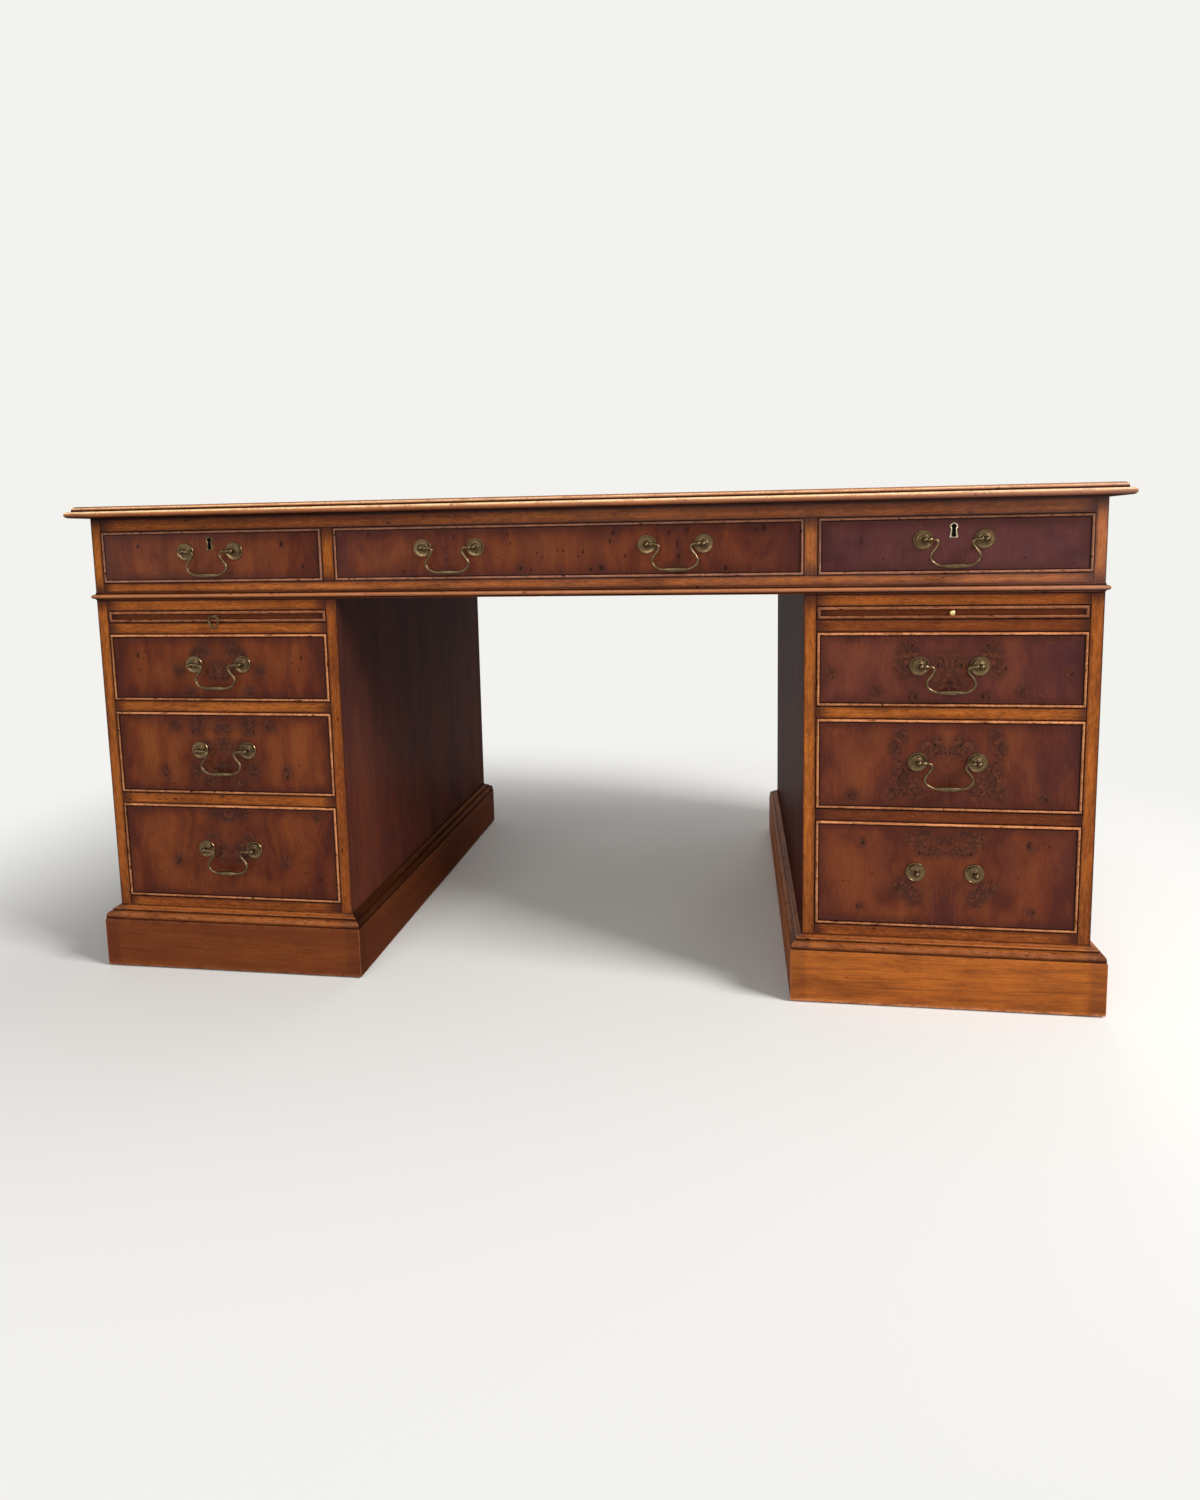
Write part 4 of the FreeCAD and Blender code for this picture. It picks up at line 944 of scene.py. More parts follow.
def writing_leather(name):
    """Dyed hide with a pebbled grain, rubbed in soft patches."""
    leather = bpy.context.scene.desk_leather
    net = new_material(name)
    place = net.point()
    shaken = net.vector("ADD", place, net.scale(net.noise(place, 500.0)[1], 0.0006))
    crease = net.ease(net.cells(shaken, 620.0, "DISTANCE_TO_EDGE")["Distance"], 0.0, 0.22,
                      1.0, 0.0)
    patch = net.noise(place, 4.5, 5.0, 0.6)[0]
    mottle = net.noise(place, 60.0, 4.0, 0.65)[0]
    scuff = net.place("scratches", vector=place, share=0.25)["Mask"]
    shade = net.coats(
        leather.green_dark, (net.ease(patch, 0.35, 0.65), leather.green),
        (net.ease(mottle, 0.45, 0.7, 0.0, 0.5), leather.green_dark),
        (crease * 0.55, leather.green_dark), (scuff * 0.25, leather.scuffed))
    surface(net, {"Base Color": shade, "Roughness": net.ease(patch, 0.3, 0.7, 0.46, 0.62),
                  "Specular IOR Level": 0.14}, mottle - crease, 0.5, 0.0003)


def aged_metal(name, bright, dull, roughness, tarnish):
    """Cast brass or steel, tarnished in blotches and in its grooves."""
    net = new_material(name)
    rub, grime, _ = net.split(net.make("ShaderNodeAttribute", attribute_name="wear")["Vector"])
    aged = net.place("tarnish", vector=net.point(), rubbed=rub)
    cover = net.math("MAXIMUM", aged["Mask"] * tarnish, grime * 0.94)
    surface(net, {"Base Color": net.mix(cover, bright, dull), "Metallic": 1.0,
                  "Roughness": net.ease(cover, 0.0, 1.0, roughness, roughness + 0.2)},
            aged["Grain"], 0.1, 0.0002)


def glide_material(name):
    """Scuffed nylon."""
    trims = bpy.context.scene.desk_trims
    net = new_material(name)
    dust = net.noise(net.point(), 240.0, 4.0, 0.6)[0]
    surface(net, {"Base Color": net.mix(net.ease(dust, 0.4, 0.7), trims.glide, trims.glide_dust),
                  "Roughness": net.ease(dust, 0.3, 0.7, 0.4, 0.62)}, dust, 0.2, 0.0003)


def keyhole_shade(name):
    """Unlit hollow of a lock."""
    black, dim_black = (0.004, 0.003, 0.003), (0.012, 0.009, 0.007)
    net = new_material(name)
    surface(net, {"Base Color": net.mix(net.noise(net.point(), 300.0)[0], black, dim_black),
                  "Roughness": 0.9, "Specular IOR Level": 0.0})


def make_materials():
    woods = bpy.context.scene.desk_woods
    metals = bpy.context.scene.desk_metals
    yew = (woods.honey, woods.honey_mid, woods.honey_dark)
    case_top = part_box("frieze_frame")[1].z
    pedestal_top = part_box("left_pedestal_frame")[1].z
    # The frame and the side panels get painted shade below the top and the base bead.
    polished_wood("frame_yew", *yew, seam=0.8, edge_reach=0.006, mottle=0.6, streaks=0.4,
                  eaves=((case_top, 0.002, 0.0055, 0.9), (case_top, 0.002, 0.016, 0.34),
                         (pedestal_top, 0.001, 0.003, 0.9)))
    moulding = {"lines": 260.0, "patina_weight": 0.6, "end_reach": 0.02, "gloss": 1.6}
    polished_wood("bead_yew", *yew, **moulding, soot=0.75, rub_weight=0.95)
    # The top edge has a painted highlight where its rub is highest.
    polished_wood("edge_yew", *yew, **moulding, coat_roughness=0.1, soot=0.3, patches=0.86,
                  mottle=0.3, highlight_share=1.0)
    polished_wood("side_panel", woods.panel, woods.panel_dark, woods.patina, bands=12.0,
                  lines=140.0, ripple=0.01, end_reach=0.05, edge_reach=0.012,
                  patina_weight=0.4, gloss=0.5, grain_depth=0.05, streaks=0.12, mottle=0.15,
                  eaves=((pedestal_top, 0.03, 0.4, 0.45),))
    polished_wood("plinth_yew", *yew, bands=26.0, lines=300.0, ripple=0.016, end_reach=0.01,
                  patina_weight=0.25, gloss=1.2, streaks=0.4, mottle=0.22, patches=0.05,
                  knots=0.3)
    polished_wood("top_veneer", *yew, bands=30.0, ripple=0.02, gloss=1.6)
    burr_veneer("burr_front")
    lining_wood("lining")
    writing_leather("leather")
    for name, bright, dull, roughness, tarnish in (
            ("antique_brass", metals.brass, metals.brass_dark, 0.28, 0.75),
            ("old_brass", metals.brass_old, metals.brass_dark, 0.3, 0.8),
            ("rubbed_brass", metals.pale, metals.brass_dark, 0.26, 0.5),
            ("bright_brass", metals.bright, metals.brass, 0.16, 0.35),
            ("gilt", metals.gilt, metals.brass, 0.34, 0.5),
            ("steel", metals.steel, metals.brass_dark, 0.38, 0.7)):
        aged_metal(name + "_face", bright, dull, roughness, tarnish)
    glide_material("glide")
    keyhole_shade("keyhole")


# ---------------------------------------------------------------- repeats by geometry nodes
def geometry_tree(name, inputs):
    """New geometry tree, whose inputs have these names, kinds and defaults."""
    tree = bpy.data.node_groups.new(name, "GeometryNodeTree")
    for label, (kind, value) in {"Geometry": ("Geometry", None), **inputs,
                                 "Finish": ("Material", None)}.items():
        socket = tree.interface.new_socket(label, in_out="INPUT",
                                           socket_type="NodeSocket" + kind)
        if value is not None:
            socket.default_value = value
    tree.interface.new_socket("Geometry", in_out="OUTPUT", socket_type="NodeSocketGeometry")
    net = Net(tree)
    return net, net.make("NodeGroupInput")


def end_tree(net, source, geometry):
    """Ends a tree: real geometry with its material."""
    real = net.make("GeometryNodeRealizeInstances", {0: geometry})[0]
    painted = net.make("GeometryNodeSetMaterial", {"Geometry": real,
                                                   "Material": source["Finish"]})[0]
    net.feed(net.tree.nodes.new("NodeGroupOutput").inputs[0], painted)
    return net.tree


def copies_tree(net, source, points, pattern, rotation):
    """Ends a tree with a copy of a pattern on every point."""
    shape = net.make("GeometryNodeObjectInfo", {"Object": pattern})["Geometry"]
    return end_tree(net, source, net.make("GeometryNodeInstanceOnPoints", {
        "Points": points, "Instance": shape, "Rotation": rotation})[0])


def fitting_tree():
    """Sets a fitting on every point, facing one way, each with its own slight turn."""
    net, source = geometry_tree("Fittings on points", {
        "Fitting": ("Object", None), "Facing": ("Vector", (0, 0, 0)), "Turn": ("Float", 0.3),
        "Seed": ("Int", 7)})
    turn = net.make("FunctionNodeRandomValue", {2: source["Turn"] * -1.0, 3: source["Turn"],
                                                "Seed": source["Seed"]}, data_type="FLOAT")[1]
    spin = net.make("FunctionNodeEulerToRotation", {0: net.join(0.0, 0.0, turn)})[0]
    facing = net.make("FunctionNodeEulerToRotation", {0: source["Facing"]})[0]
    turned = net.make("FunctionNodeRotateRotation", {0: facing, 1: spin},
                      rotation_space="LOCAL")[0]
    return copies_tree(net, source, source["Geometry"], source["Fitting"], turned)


def border_tree():
    """Repeats a stamp along closed lines at an even spacing."""
    net, source = geometry_tree("Stamps along a line", {
        "Stamp": ("Object", None), "Spacing": ("Float", 0.011)})
    line = net.make("GeometryNodeMeshToCurve", {0: source["Geometry"]})[0]
    points = net.make("GeometryNodeCurveToPoints", {"Curve": line, "Length": source["Spacing"]},
                      mode="LENGTH")
    aligned = net.make("FunctionNodeAlignRotationToVector", {"Vector": points["Tangent"]},
                       axis="X")[0]
    return copies_tree(net, source, points[0], source["Stamp"], aligned)


def wire_tree():
    """Draws a round wire along a line, as thick as the line's own radius."""
    net, source = geometry_tree("Wire along a line", {"Sides": ("Int", 16)})
    line = net.make("GeometryNodeMeshToCurve", {0: source["Geometry"]})[0]
    thickness = net.make("GeometryNodeInputNamedAttribute", {"Name": "radius_here"},
                         data_type="FLOAT")[0]
    circle = net.make("GeometryNodeCurvePrimitiveCircle", {"Resolution": source["Sides"],
                                                           "Radius": 1.0})[0]
    return end_tree(net, source, net.make("GeometryNodeCurveToMesh", {
        "Curve": line, "Profile Curve": circle, "Scale": thickness, "Fill Caps": True})[0])


def grow(name, node, finish, mesh, tree, **values):
    """Runs a geometry tree on a mesh and keeps the result as a plain piece."""
    values = {**values, "Finish": MATERIALS[finish]}
    seed = bpy.data.objects.new(name + "_seed", mesh)
    bpy.context.scene.collection.objects.link(seed)
    modifier = seed.modifiers.new("grow", "NODES")
    modifier.node_group = tree
    for item in tree.interface.items_tree:
        if item.item_type == "SOCKET" and item.in_out == "INPUT" and item.name in values:
            modifier[item.identifier] = values[item.name]
    seed.update_tag()
    bpy.context.view_layer.update()
    graph = bpy.context.evaluated_depsgraph_get()
    made = bpy.data.meshes.new_from_object(seed.evaluated_get(graph))
    seed.modifiers.clear()
    bpy.data.objects.remove(seed)
    made.name = name
    face_outwards(made)
    made.polygons.foreach_set("use_smooth", [True] * len(made.polygons))
    made.set_sharp_from_angle(angle=math.radians(40))
    settle(bpy.data.objects.new(name, made), SLOTS[finish], node)


def turned_wear(profile, sides):
    """Rub and grime of a turning, from the third and fourth values of its profile."""
    return [mark for _, radius, *marks in profile
            for mark in [(*(marks + [0, 0])[:2], 0)] * (sides if radius else 1)]


def plain_mesh(name, points, edges=(), faces=()):
    mesh = bpy.data.meshes.new(name)
    mesh.from_pydata([tuple(point) for point in points], edges, faces)
    return mesh


def pattern_object(name, points, faces, wear=None):
    """Template that a tree repeats. It is removed once its copies are made."""
    mesh = plain_mesh(name, points, faces=faces)
    if wear:
        keep_vectors(mesh, "wear", wear)
    made = bpy.data.objects.new(name, mesh)
    bpy.context.scene.collection.objects.link(made)
    return made


def closed_line(name, rings):
    """Mesh of closed lines through the corners of each ring."""
    points, edges = [], []
    for ring in rings:
        start = len(points)
        points += ring
        edges += [(start + i, start + (i + 1) % len(ring)) for i in range(len(ring))]
    return plain_mesh(name, points, edges)


def across_front(*stops):
    """Painted sheen that changes from left to right, from (x, share) stops."""
    places, shares = zip(*stops)
    return lambda points: np.interp(points[:, 0], places, shares)


# ---------------------------------------------------------------- profiles
def top_edge_profile(trims, thickness, overhang):
    """Thumb mould: a round nose, a quirk and a quarter round."""
    nose = trims.nose_radius
    quarter = thickness - 2 * nose - trims.quirk_rise
    shoulder = overhang - trims.quirk_setback
    base = 2 * nose + trims.quirk_rise
    inner = -trims.edge_width
    # The rub is wear and a painted highlight on the nose and the round; the grime is painted shade under
    # the nose, in the quirk and on the underside.
    return [(inner, 0, 0, 0.9), (0, 0, 0, 0.95),
            *worn_arc((overhang - nose, nose), nose, -90, 90,
                      (0, 0, 0, 0.05, 0.12, 0.25, 0.4, 0.65, 0.95, 1, 1, 0.7, 0),
                      (0.95, 0.92, 0.8, 0.55, 0.3, 0.12, 0, 0, 0, 0, 0, 0.2, 0.95)),
            (shoulder + 0.8 * MILLIMETRE, 2 * nose, 0, 1), (shoulder, 2 * nose, 0, 1),
            (shoulder, base - 0.3 * MILLIMETRE, 0, 0.9),
            *worn_arc((shoulder - quarter, base), quarter, 0, 90,
                      (0.1, 0.6, 0.9, 0.9, 0.6, 0.2, 0.05, 0, 0),
                      (0.5, 0, 0, 0, 0, 0.2, 0.3, 0.1, 0)),
            (inner, thickness, 0, 0)]


def base_bead_profile(trims, height):
    """Thin roll on the front of a deep strip."""
    roll = 0.27 * height
    inner = -trims.base_bead_depth
    lip = 0.6 * MILLIMETRE
    # The grime is painted shade in the hollow under the roll and in the quirk above it; the rub on the
    # roll is wear and a painted highlight.
    return [(inner, 0, 0, 0), (0, 0, 0, 0.2), (lip, 0.01 * height, 0, 0.3),
            (lip, 0.1 * height, 0, 0.9), (2.2 * lip, 0.17 * height, 0, 1),
            *worn_arc((trims.base_bead_reach - roll, 0.46 * height), roll, -80, 90,
                      (0, 0.05, 0.15, 0.3, 0.45, 0.55, 0.6, 0.4, 0.1, 0),
                      (0.95, 0.7, 0.35, 0.15, 0, 0, 0, 0.1, 0.4, 0.9)),
            (lip, 0.78 * height, 0, 1), (lip, 0.95 * height, 0, 0.6), (0, height, 0, 0.5),
            (inner, height, 0, 0)]


def plinth_moulding_profile(trims, projection, height):
    """Ovolo, fillet and shallow cove from the ledge up to the case."""
    foot = projection - trims.moulding_setback
    roll = trims.ovolo_radius
    root = foot - roll
    start = trims.ovolo_start
    fillet = trims.fillet_top
    tip = 0.4 * MILLIMETRE
    cove = [(root + (tip - root) * (1 - (1 - part) ** 1.55),
             fillet + (height - fillet) * part ** 1.7, 0.1 if part < 0.8 else 0,
             0 if part < 0.8 else 0.7) for part in (step / 6 for step in range(1, 7))]
    return [(0, 0, 0, 0), (foot, 0, 0, 1), (foot, 0.4 * start, 0, 0.75), (foot, start, 0.1, 0.3),
            *worn_arc((root, start), roll, 8, 82, [0.2] * 5 + [0.05] * 3, [0.1] * 8),
            (root, start + roll, 0, 1), (root, fillet - 0.4 * MILLIMETRE, 0.2, 0.5),
            (root - 0.4 * MILLIMETRE, fillet, 0.6, 0), *cove, (0, height, 0, 0.6)]


def skirting_profile(trims, inner, projection, low, high, knocked):
    """Plain skirting with a chamfer above and a knocked lower edge."""
    chamfer = trims.plinth_arris
    soft = 0.7 * MILLIMETRE
    return [(-inner, low, 0, 0), (projection - soft, low, 0.9 * knocked, 0.1),
            (projection - 0.2 * soft, low + 0.2 * soft, knocked, 0),
            (projection, low + soft, knocked, 0), (projection, low + 3 * soft, 0.6 * knocked, 0),
            *((projection, low + (high - low) * part, 0, 0)
              for part in (0.07, 0.1, 0.18, 0.3, 0.45, 0.6, 0.75, 0.9)),
            (projection, high - chamfer, 0.1, 0),
            (projection - 0.5 * chamfer, high - 0.35 * chamfer, 0.2, 0.3),
            (projection - chamfer, high, 0, 1), (-inner, high, 0, 0)]


def cock_bead_profile(trims, width, rubbed):
    """Round-nosed bead: the nose is rubbed pale, as wear and as a painted highlight, and its feet are
    dark with grime and painted shade.
    """
    foot = 0.11 * width
    half = width / 2 - foot
    tall = min(half, trims.bead_proud)
    nose = worn_arc((0, 0), 1, 0, 180, (0.5, 0.9, 1, 1, 1, 1, 1, 0.6, 0),
                    (0.1, 0, 0, 0, 0, 0, 0, 0.25, 0.95))
    return [(-width, -trims.bead_depth, 0, 0), (0, -trims.bead_depth, 0, 0), (0, 0, 0, 0.4),
            (-foot, 0, 0, 0.2),
            *((half * (x - 1) - foot, trims.bead_proud - tall + tall * y, rubbed * rub, grime)
              for x, y, rub, grime in nose),
            (foot - width, 0, 0, 1), (-width, 0, 0, 1)]


# ---------------------------------------------------------------- operators: top and frieze
class DESK_OT_finishes(Operator):
    """Make the woods, leather and metals of the desk"""
    bl_idname = "desk.finishes"
    bl_label = "Finishes"

    def execute(self, context):
        make_materials()
        return {"FINISHED"}


class DESK_OT_top(Operator):
    """Make the moulded top edge and the veneered panel that holds the leathers"""
    bl_idname = "desk.top"
    bl_label = "Top"

    def execute(self, context):
        boards("top_board", "top_panel", "top_veneer", along=0, across=1)
        low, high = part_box("top_edge_mouldings")
        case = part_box("frieze_frame")[1]
        profile = top_edge_profile(context.scene.desk_trims, high.z - low.z, high.x - case.x)
        edge = Stock("top_edge")
        # The edge has a painted sheen that grows towards its right end.
        mitred_frame(edge, Z * low.z, case.x, case.y, profile, 0.7, corner=0.3,
                     bloom=across_front((-0.8, 0.03), (-0.3, 0.08), (0.5, 0.2), (0.8, 0.42)))
        edge.piece("top_edge_mouldings", "edge_yew", weighted=False)
        return {"FINISHED"}


class DESK_OT_leathers(Operator):
    """Lay the three writing leathers and their gilt tooling"""
    bl_idname = "desk.leathers"
    bl_label = "Leathers"

    def execute(self, context):
        leather = context.scene.desk_leather
        node = "writing_leathers"
        boards("leathers", node, "leather", arris=0.5 * MILLIMETRE, along=0, across=1)
        lift, width = 0.02 * MILLIMETRE, leather.line_width
        lines, stamps = Stock("gilt_lines"), []
        flat = [(0, -lift, 0, 0), (0, lift, 0, 0), (-width, lift, 0, 0), (-width, -lift, 0, 0)]
        for solid in solids_of(node):
            low, high = box_of(solid)
            half = (high - low) / 2
            for inset in (0, 17 * MILLIMETRE):
                inset += leather.border
                mitred_frame(lines, inside(low, high, 0.5, 0.5, 1), half.x - inset,
                             half.y - inset, flat, 0)
            inset = leather.border + 8.5 * MILLIMETRE
            stamps.append([Vector((x, y, high.z + lift)) for x, y in (
                (low.x + inset, low.y + inset), (high.x - inset, low.y + inset),
                (high.x - inset, high.y - inset), (low.x + inset, high.y - inset))])
        lines.piece(node, "gilt_face", weighted=False)
        stamp = pattern_object("stamp", *self.stamp(leather.stamp_size, lift))
        grow("gilt_stamps", node, "gilt_face", closed_line("stamp_lines", stamps),
             border_tree(), Stamp=stamp, Spacing=leather.stamp_spacing)
        bpy.data.objects.remove(stamp)
        return {"FINISHED"}

    @staticmethod
    def stamp(size, lift):
        """A lozenge between two leaves, barely raised."""
        turns = [2 * math.pi * part / 24 for part in range(24)]
        reach = [size * (0.30 + 0.20 * abs(math.cos(2 * turn)) ** 1.5) for turn in turns]
        points = [(petal * math.cos(turn), petal * math.sin(turn), height)
                  for height in (-lift, lift) for turn, petal in zip(turns, reach)]
        return points, tube(2, len(turns))


class DESK_OT_frieze(Operator):
    """Make the frieze frame, its base bead and its runners"""
    bl_idname = "desk.frieze"
    bl_label = "Frieze"

    def execute(self, context):
        rails = Stock("frieze_rails")
        # The right of the frieze rails has a painted sheen.
        for number, solid in enumerate(solids_of("frieze_frame")):
            rails.board(solid, tone={6: 0.3, 7: 0.66}.get(number, 0.02),
                        bloom=across_front((-0.7, 0.0), (0.1, 0.0), (0.7, 0.14)))
        rails.piece("frieze_frame", "frame_yew")
        low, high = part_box("frieze_base_bead")
        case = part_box("frieze_frame")[1]
        profile = base_bead_profile(context.scene.desk_trims, high.z - low.z)
        bead = Stock("base_bead")
        # The base bead too has a painted sheen, strongest at the right.
        mitred_frame(bead, Z * low.z, case.x, case.y, profile, 1, 0.72, corner=0.3,
                     bloom=across_front((-0.7, 0.05), (0.4, 0.06), (0.75, 0.26)))
        bead.piece("frieze_base_bead", "edge_yew", weighted=False)
        boards("frieze_guides", "frieze_runners", "lining")
        return {"FINISHED"}


# ---------------------------------------------------------------- operators: pedestals
class DESK_OT_pedestals(Operator):
    """Make the pedestal cases, their front frames and their runners"""
    bl_idname = "desk.pedestals"
    bl_label = "Pedestals"

    # Outer and inner stiles in front and behind, front rails from below, rear rails.
    TONES = {"left": (0.1, 0.42, 0.4, 0.5, 0.5, 0.25, 0.0, 0.5, 0.48, 0.4, 0.5),
             "right": (0.3, 0.5, 0.4, 0.5, 0.62, 0.96, 0.4, 0.78, 0.58, 0.5, 0.4)}

    def execute(self, context):
        for side in SIDES:
            node = side + "_pedestal_case"
            solids = solids_of(node)
            boards(side + "_pedestal_sides", node, "side_panel", solids[:2], along=2, across=1)
            boards(side + "_pedestal_inside", node, "lining", solids[2:])
            node = side + "_pedestal_frame"
            rails = Stock(side + "_pedestal_rails")
            low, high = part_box(node)
            for solid, tone in zip(solids_of(node), self.TONES[side]):
                rails.board(solid, tone=tone, index=lambda centre: int(
                    min(centre[0] - low.x, high.x - centre[0]) < 0.2 * MILLIMETRE))
            rails.piece(node, "frame_yew", "side_panel")
        boards("pedestal_guides", "pedestal_runners", "lining")
        return {"FINISHED"}


class DESK_OT_plinths(Operator):
    """Make the skirtings, the plinth mouldings and the floor glides"""
    bl_idname = "desk.plinths"
    bl_label = "Plinths"

    def execute(self, context):
        trims = context.scene.desk_trims
        # The left plinth's inner side gets painted shade, strongest on its moulding.
        for side, tone, shade_and_grime, knocked in zip(SIDES, (0.86, 0.12), (0.5, 0.0), (0.3, 1.0)):
            node = side + "_plinth"
            solids = solids_of(node)
            low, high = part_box(node)
            case_low, case_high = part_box(side + "_pedestal_frame")
            projection = high.x - case_high.x
            thickness = box_of(solids[0])[1].x - box_of(solids[0])[0].x
            centre = X * inside(low, high).x
            sizes = ((case_high.x - case_low.x) / 2, case_high.y)
            skirting = Stock(side + "_skirting")
            mitred_frame(skirting, centre, *sizes,
                         skirting_profile(trims, thickness - projection, projection, low.z,
                                          high.z, knocked),
                         0.5, tone, shades_and_grime=(shade_and_grime, 0, 0, 0), corner=0.75)
            for solid in solids[4:]:
                skirting.board(solid, along=2)
            skirting.piece(node, "plinth_yew", weighted=False)
            node = side + "_plinth_moulding"
            foot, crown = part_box(node)
            moulding = Stock(side + "_plinth_mould")
            mitred_frame(moulding, centre + Z * foot.z, *sizes,
                         plinth_moulding_profile(trims, projection, crown.z - foot.z), 0.6, 0.6,
                         shades_and_grime=(1.6 * shade_and_grime, 0, 0, 0), corner=0.2)
            moulding.piece(node, "bead_yew", weighted=False)
        glides = Stock("glides")
        for solid in solids_of("floor_glides"):
            low, high = box_of(solid)
            radius, tall = (high.x - low.x) / 2, high.z - low.z
            glides.add(*turning([(0, 0), (0, radius * 0.8), (tall * 0.4, radius), (tall, radius),
                                 (tall, 0)], inside(low, high, 0.5, 0.5, 0), Z, 24))
        glides.piece("floor_glides", "glide", weighted=False)
        return {"FINISHED"}


# ---------------------------------------------------------------- operators: drawers
def bead_frame(name, node, solids, facing, tone, rubbed, widening=1.0, haze=0.0,
               shades_and_grime=(0.1, 0, 0.1, 0.15)):
    """Cock beads round fronts, with grime and painted shade on the right, above, on the left and below.
    """
    trims = bpy.context.scene.desk_trims
    stock = Stock(name)
    for start in range(0, len(solids), 4):
        points = np.concatenate([solid[0] for solid in solids[start:start + 4]])
        low, high = Vector(points.min(0)), Vector(points.max(0))
        centre = inside(low, high)
        centre.y = low.y + trims.bead_proud if facing < 0 else high.y - trims.bead_proud
        mitred_frame(stock, centre, (high.x - low.x) / 2, (high.z - low.z) / 2,
                     cock_bead_profile(trims, trims.bead_width * widening, rubbed), 1, tone,
                     (X, Z, Y * facing), shades_and_grime, bloom=across_front((0, haze)))
    stock.piece(node, "bead_yew", weighted=False)


def veneer_painter(marks):
    """Paints the clumps, light and dark clouds, knots and arches of a leaf on its points."""
    def paint(grain):
        x, z = grain[:, 0] / MILLIMETRE, grain[:, 1] / MILLIMETRE
        figure, wear = np.zeros((len(grain), 3)), np.zeros((len(grain), 2))
        layers = {"clumps": figure[:, 0], "honey": figure[:, 1], "dark": figure[:, 2],
                  "knots": wear[:, 1]}
        for kind, layer in layers.items():
            for place, height, wide, tall, *lone in marks.get(kind, ()):
                for centre in ((place,) if lone or place <= 0 else (place, -place)):
                    # A knot is drawn small, and its match on the left smaller still.
                    if kind == "knots":
                        wide, tall = max(wide * 0.7, 1.5), max(tall * 0.75, 1.8)
                    spot = np.exp(-((x - centre) / wide) ** 2 - ((z - height) / tall) ** 2)
                    layer += spot * (lone[0] if lone else 1)
        for height, reach in marks.get("arches", ()):
            away = np.hypot(x, np.maximum(z - height, 0))
            figure[:, 2] += (0.5 + 0.5 * np.cos(away * 0.95)) * np.exp(-(away / reach) ** 4) * 0.7
        np.clip(figure, 0, 1, out=figure)
        np.clip(wear, 0, 1, out=wear)
        return figure, wear
    return paint


def veneered(name, node, solids, facing, tone, marks):
    """Front boards: burr on the face and plain wood behind."""
    stock = Stock(name)
    for solid in solids:
        low, high = box_of(solid)
        face = low.y if facing < 0 else high.y
        # Painted sheen from the leaf's left end to its right end.
        bloom = across_front(*zip((low.x, high.x), marks.get("bloom", (0, 0))))
        stock.board(solid, along=0, across=2, tone=tone, grid=(face, FRONT_GRID),
                    index=lambda centre: 0 if abs(centre[1] - face) < 0.001 else 1,
                    paint=veneer_painter(marks), bloom=bloom)
    stock.piece(node, "burr_front", "lining")
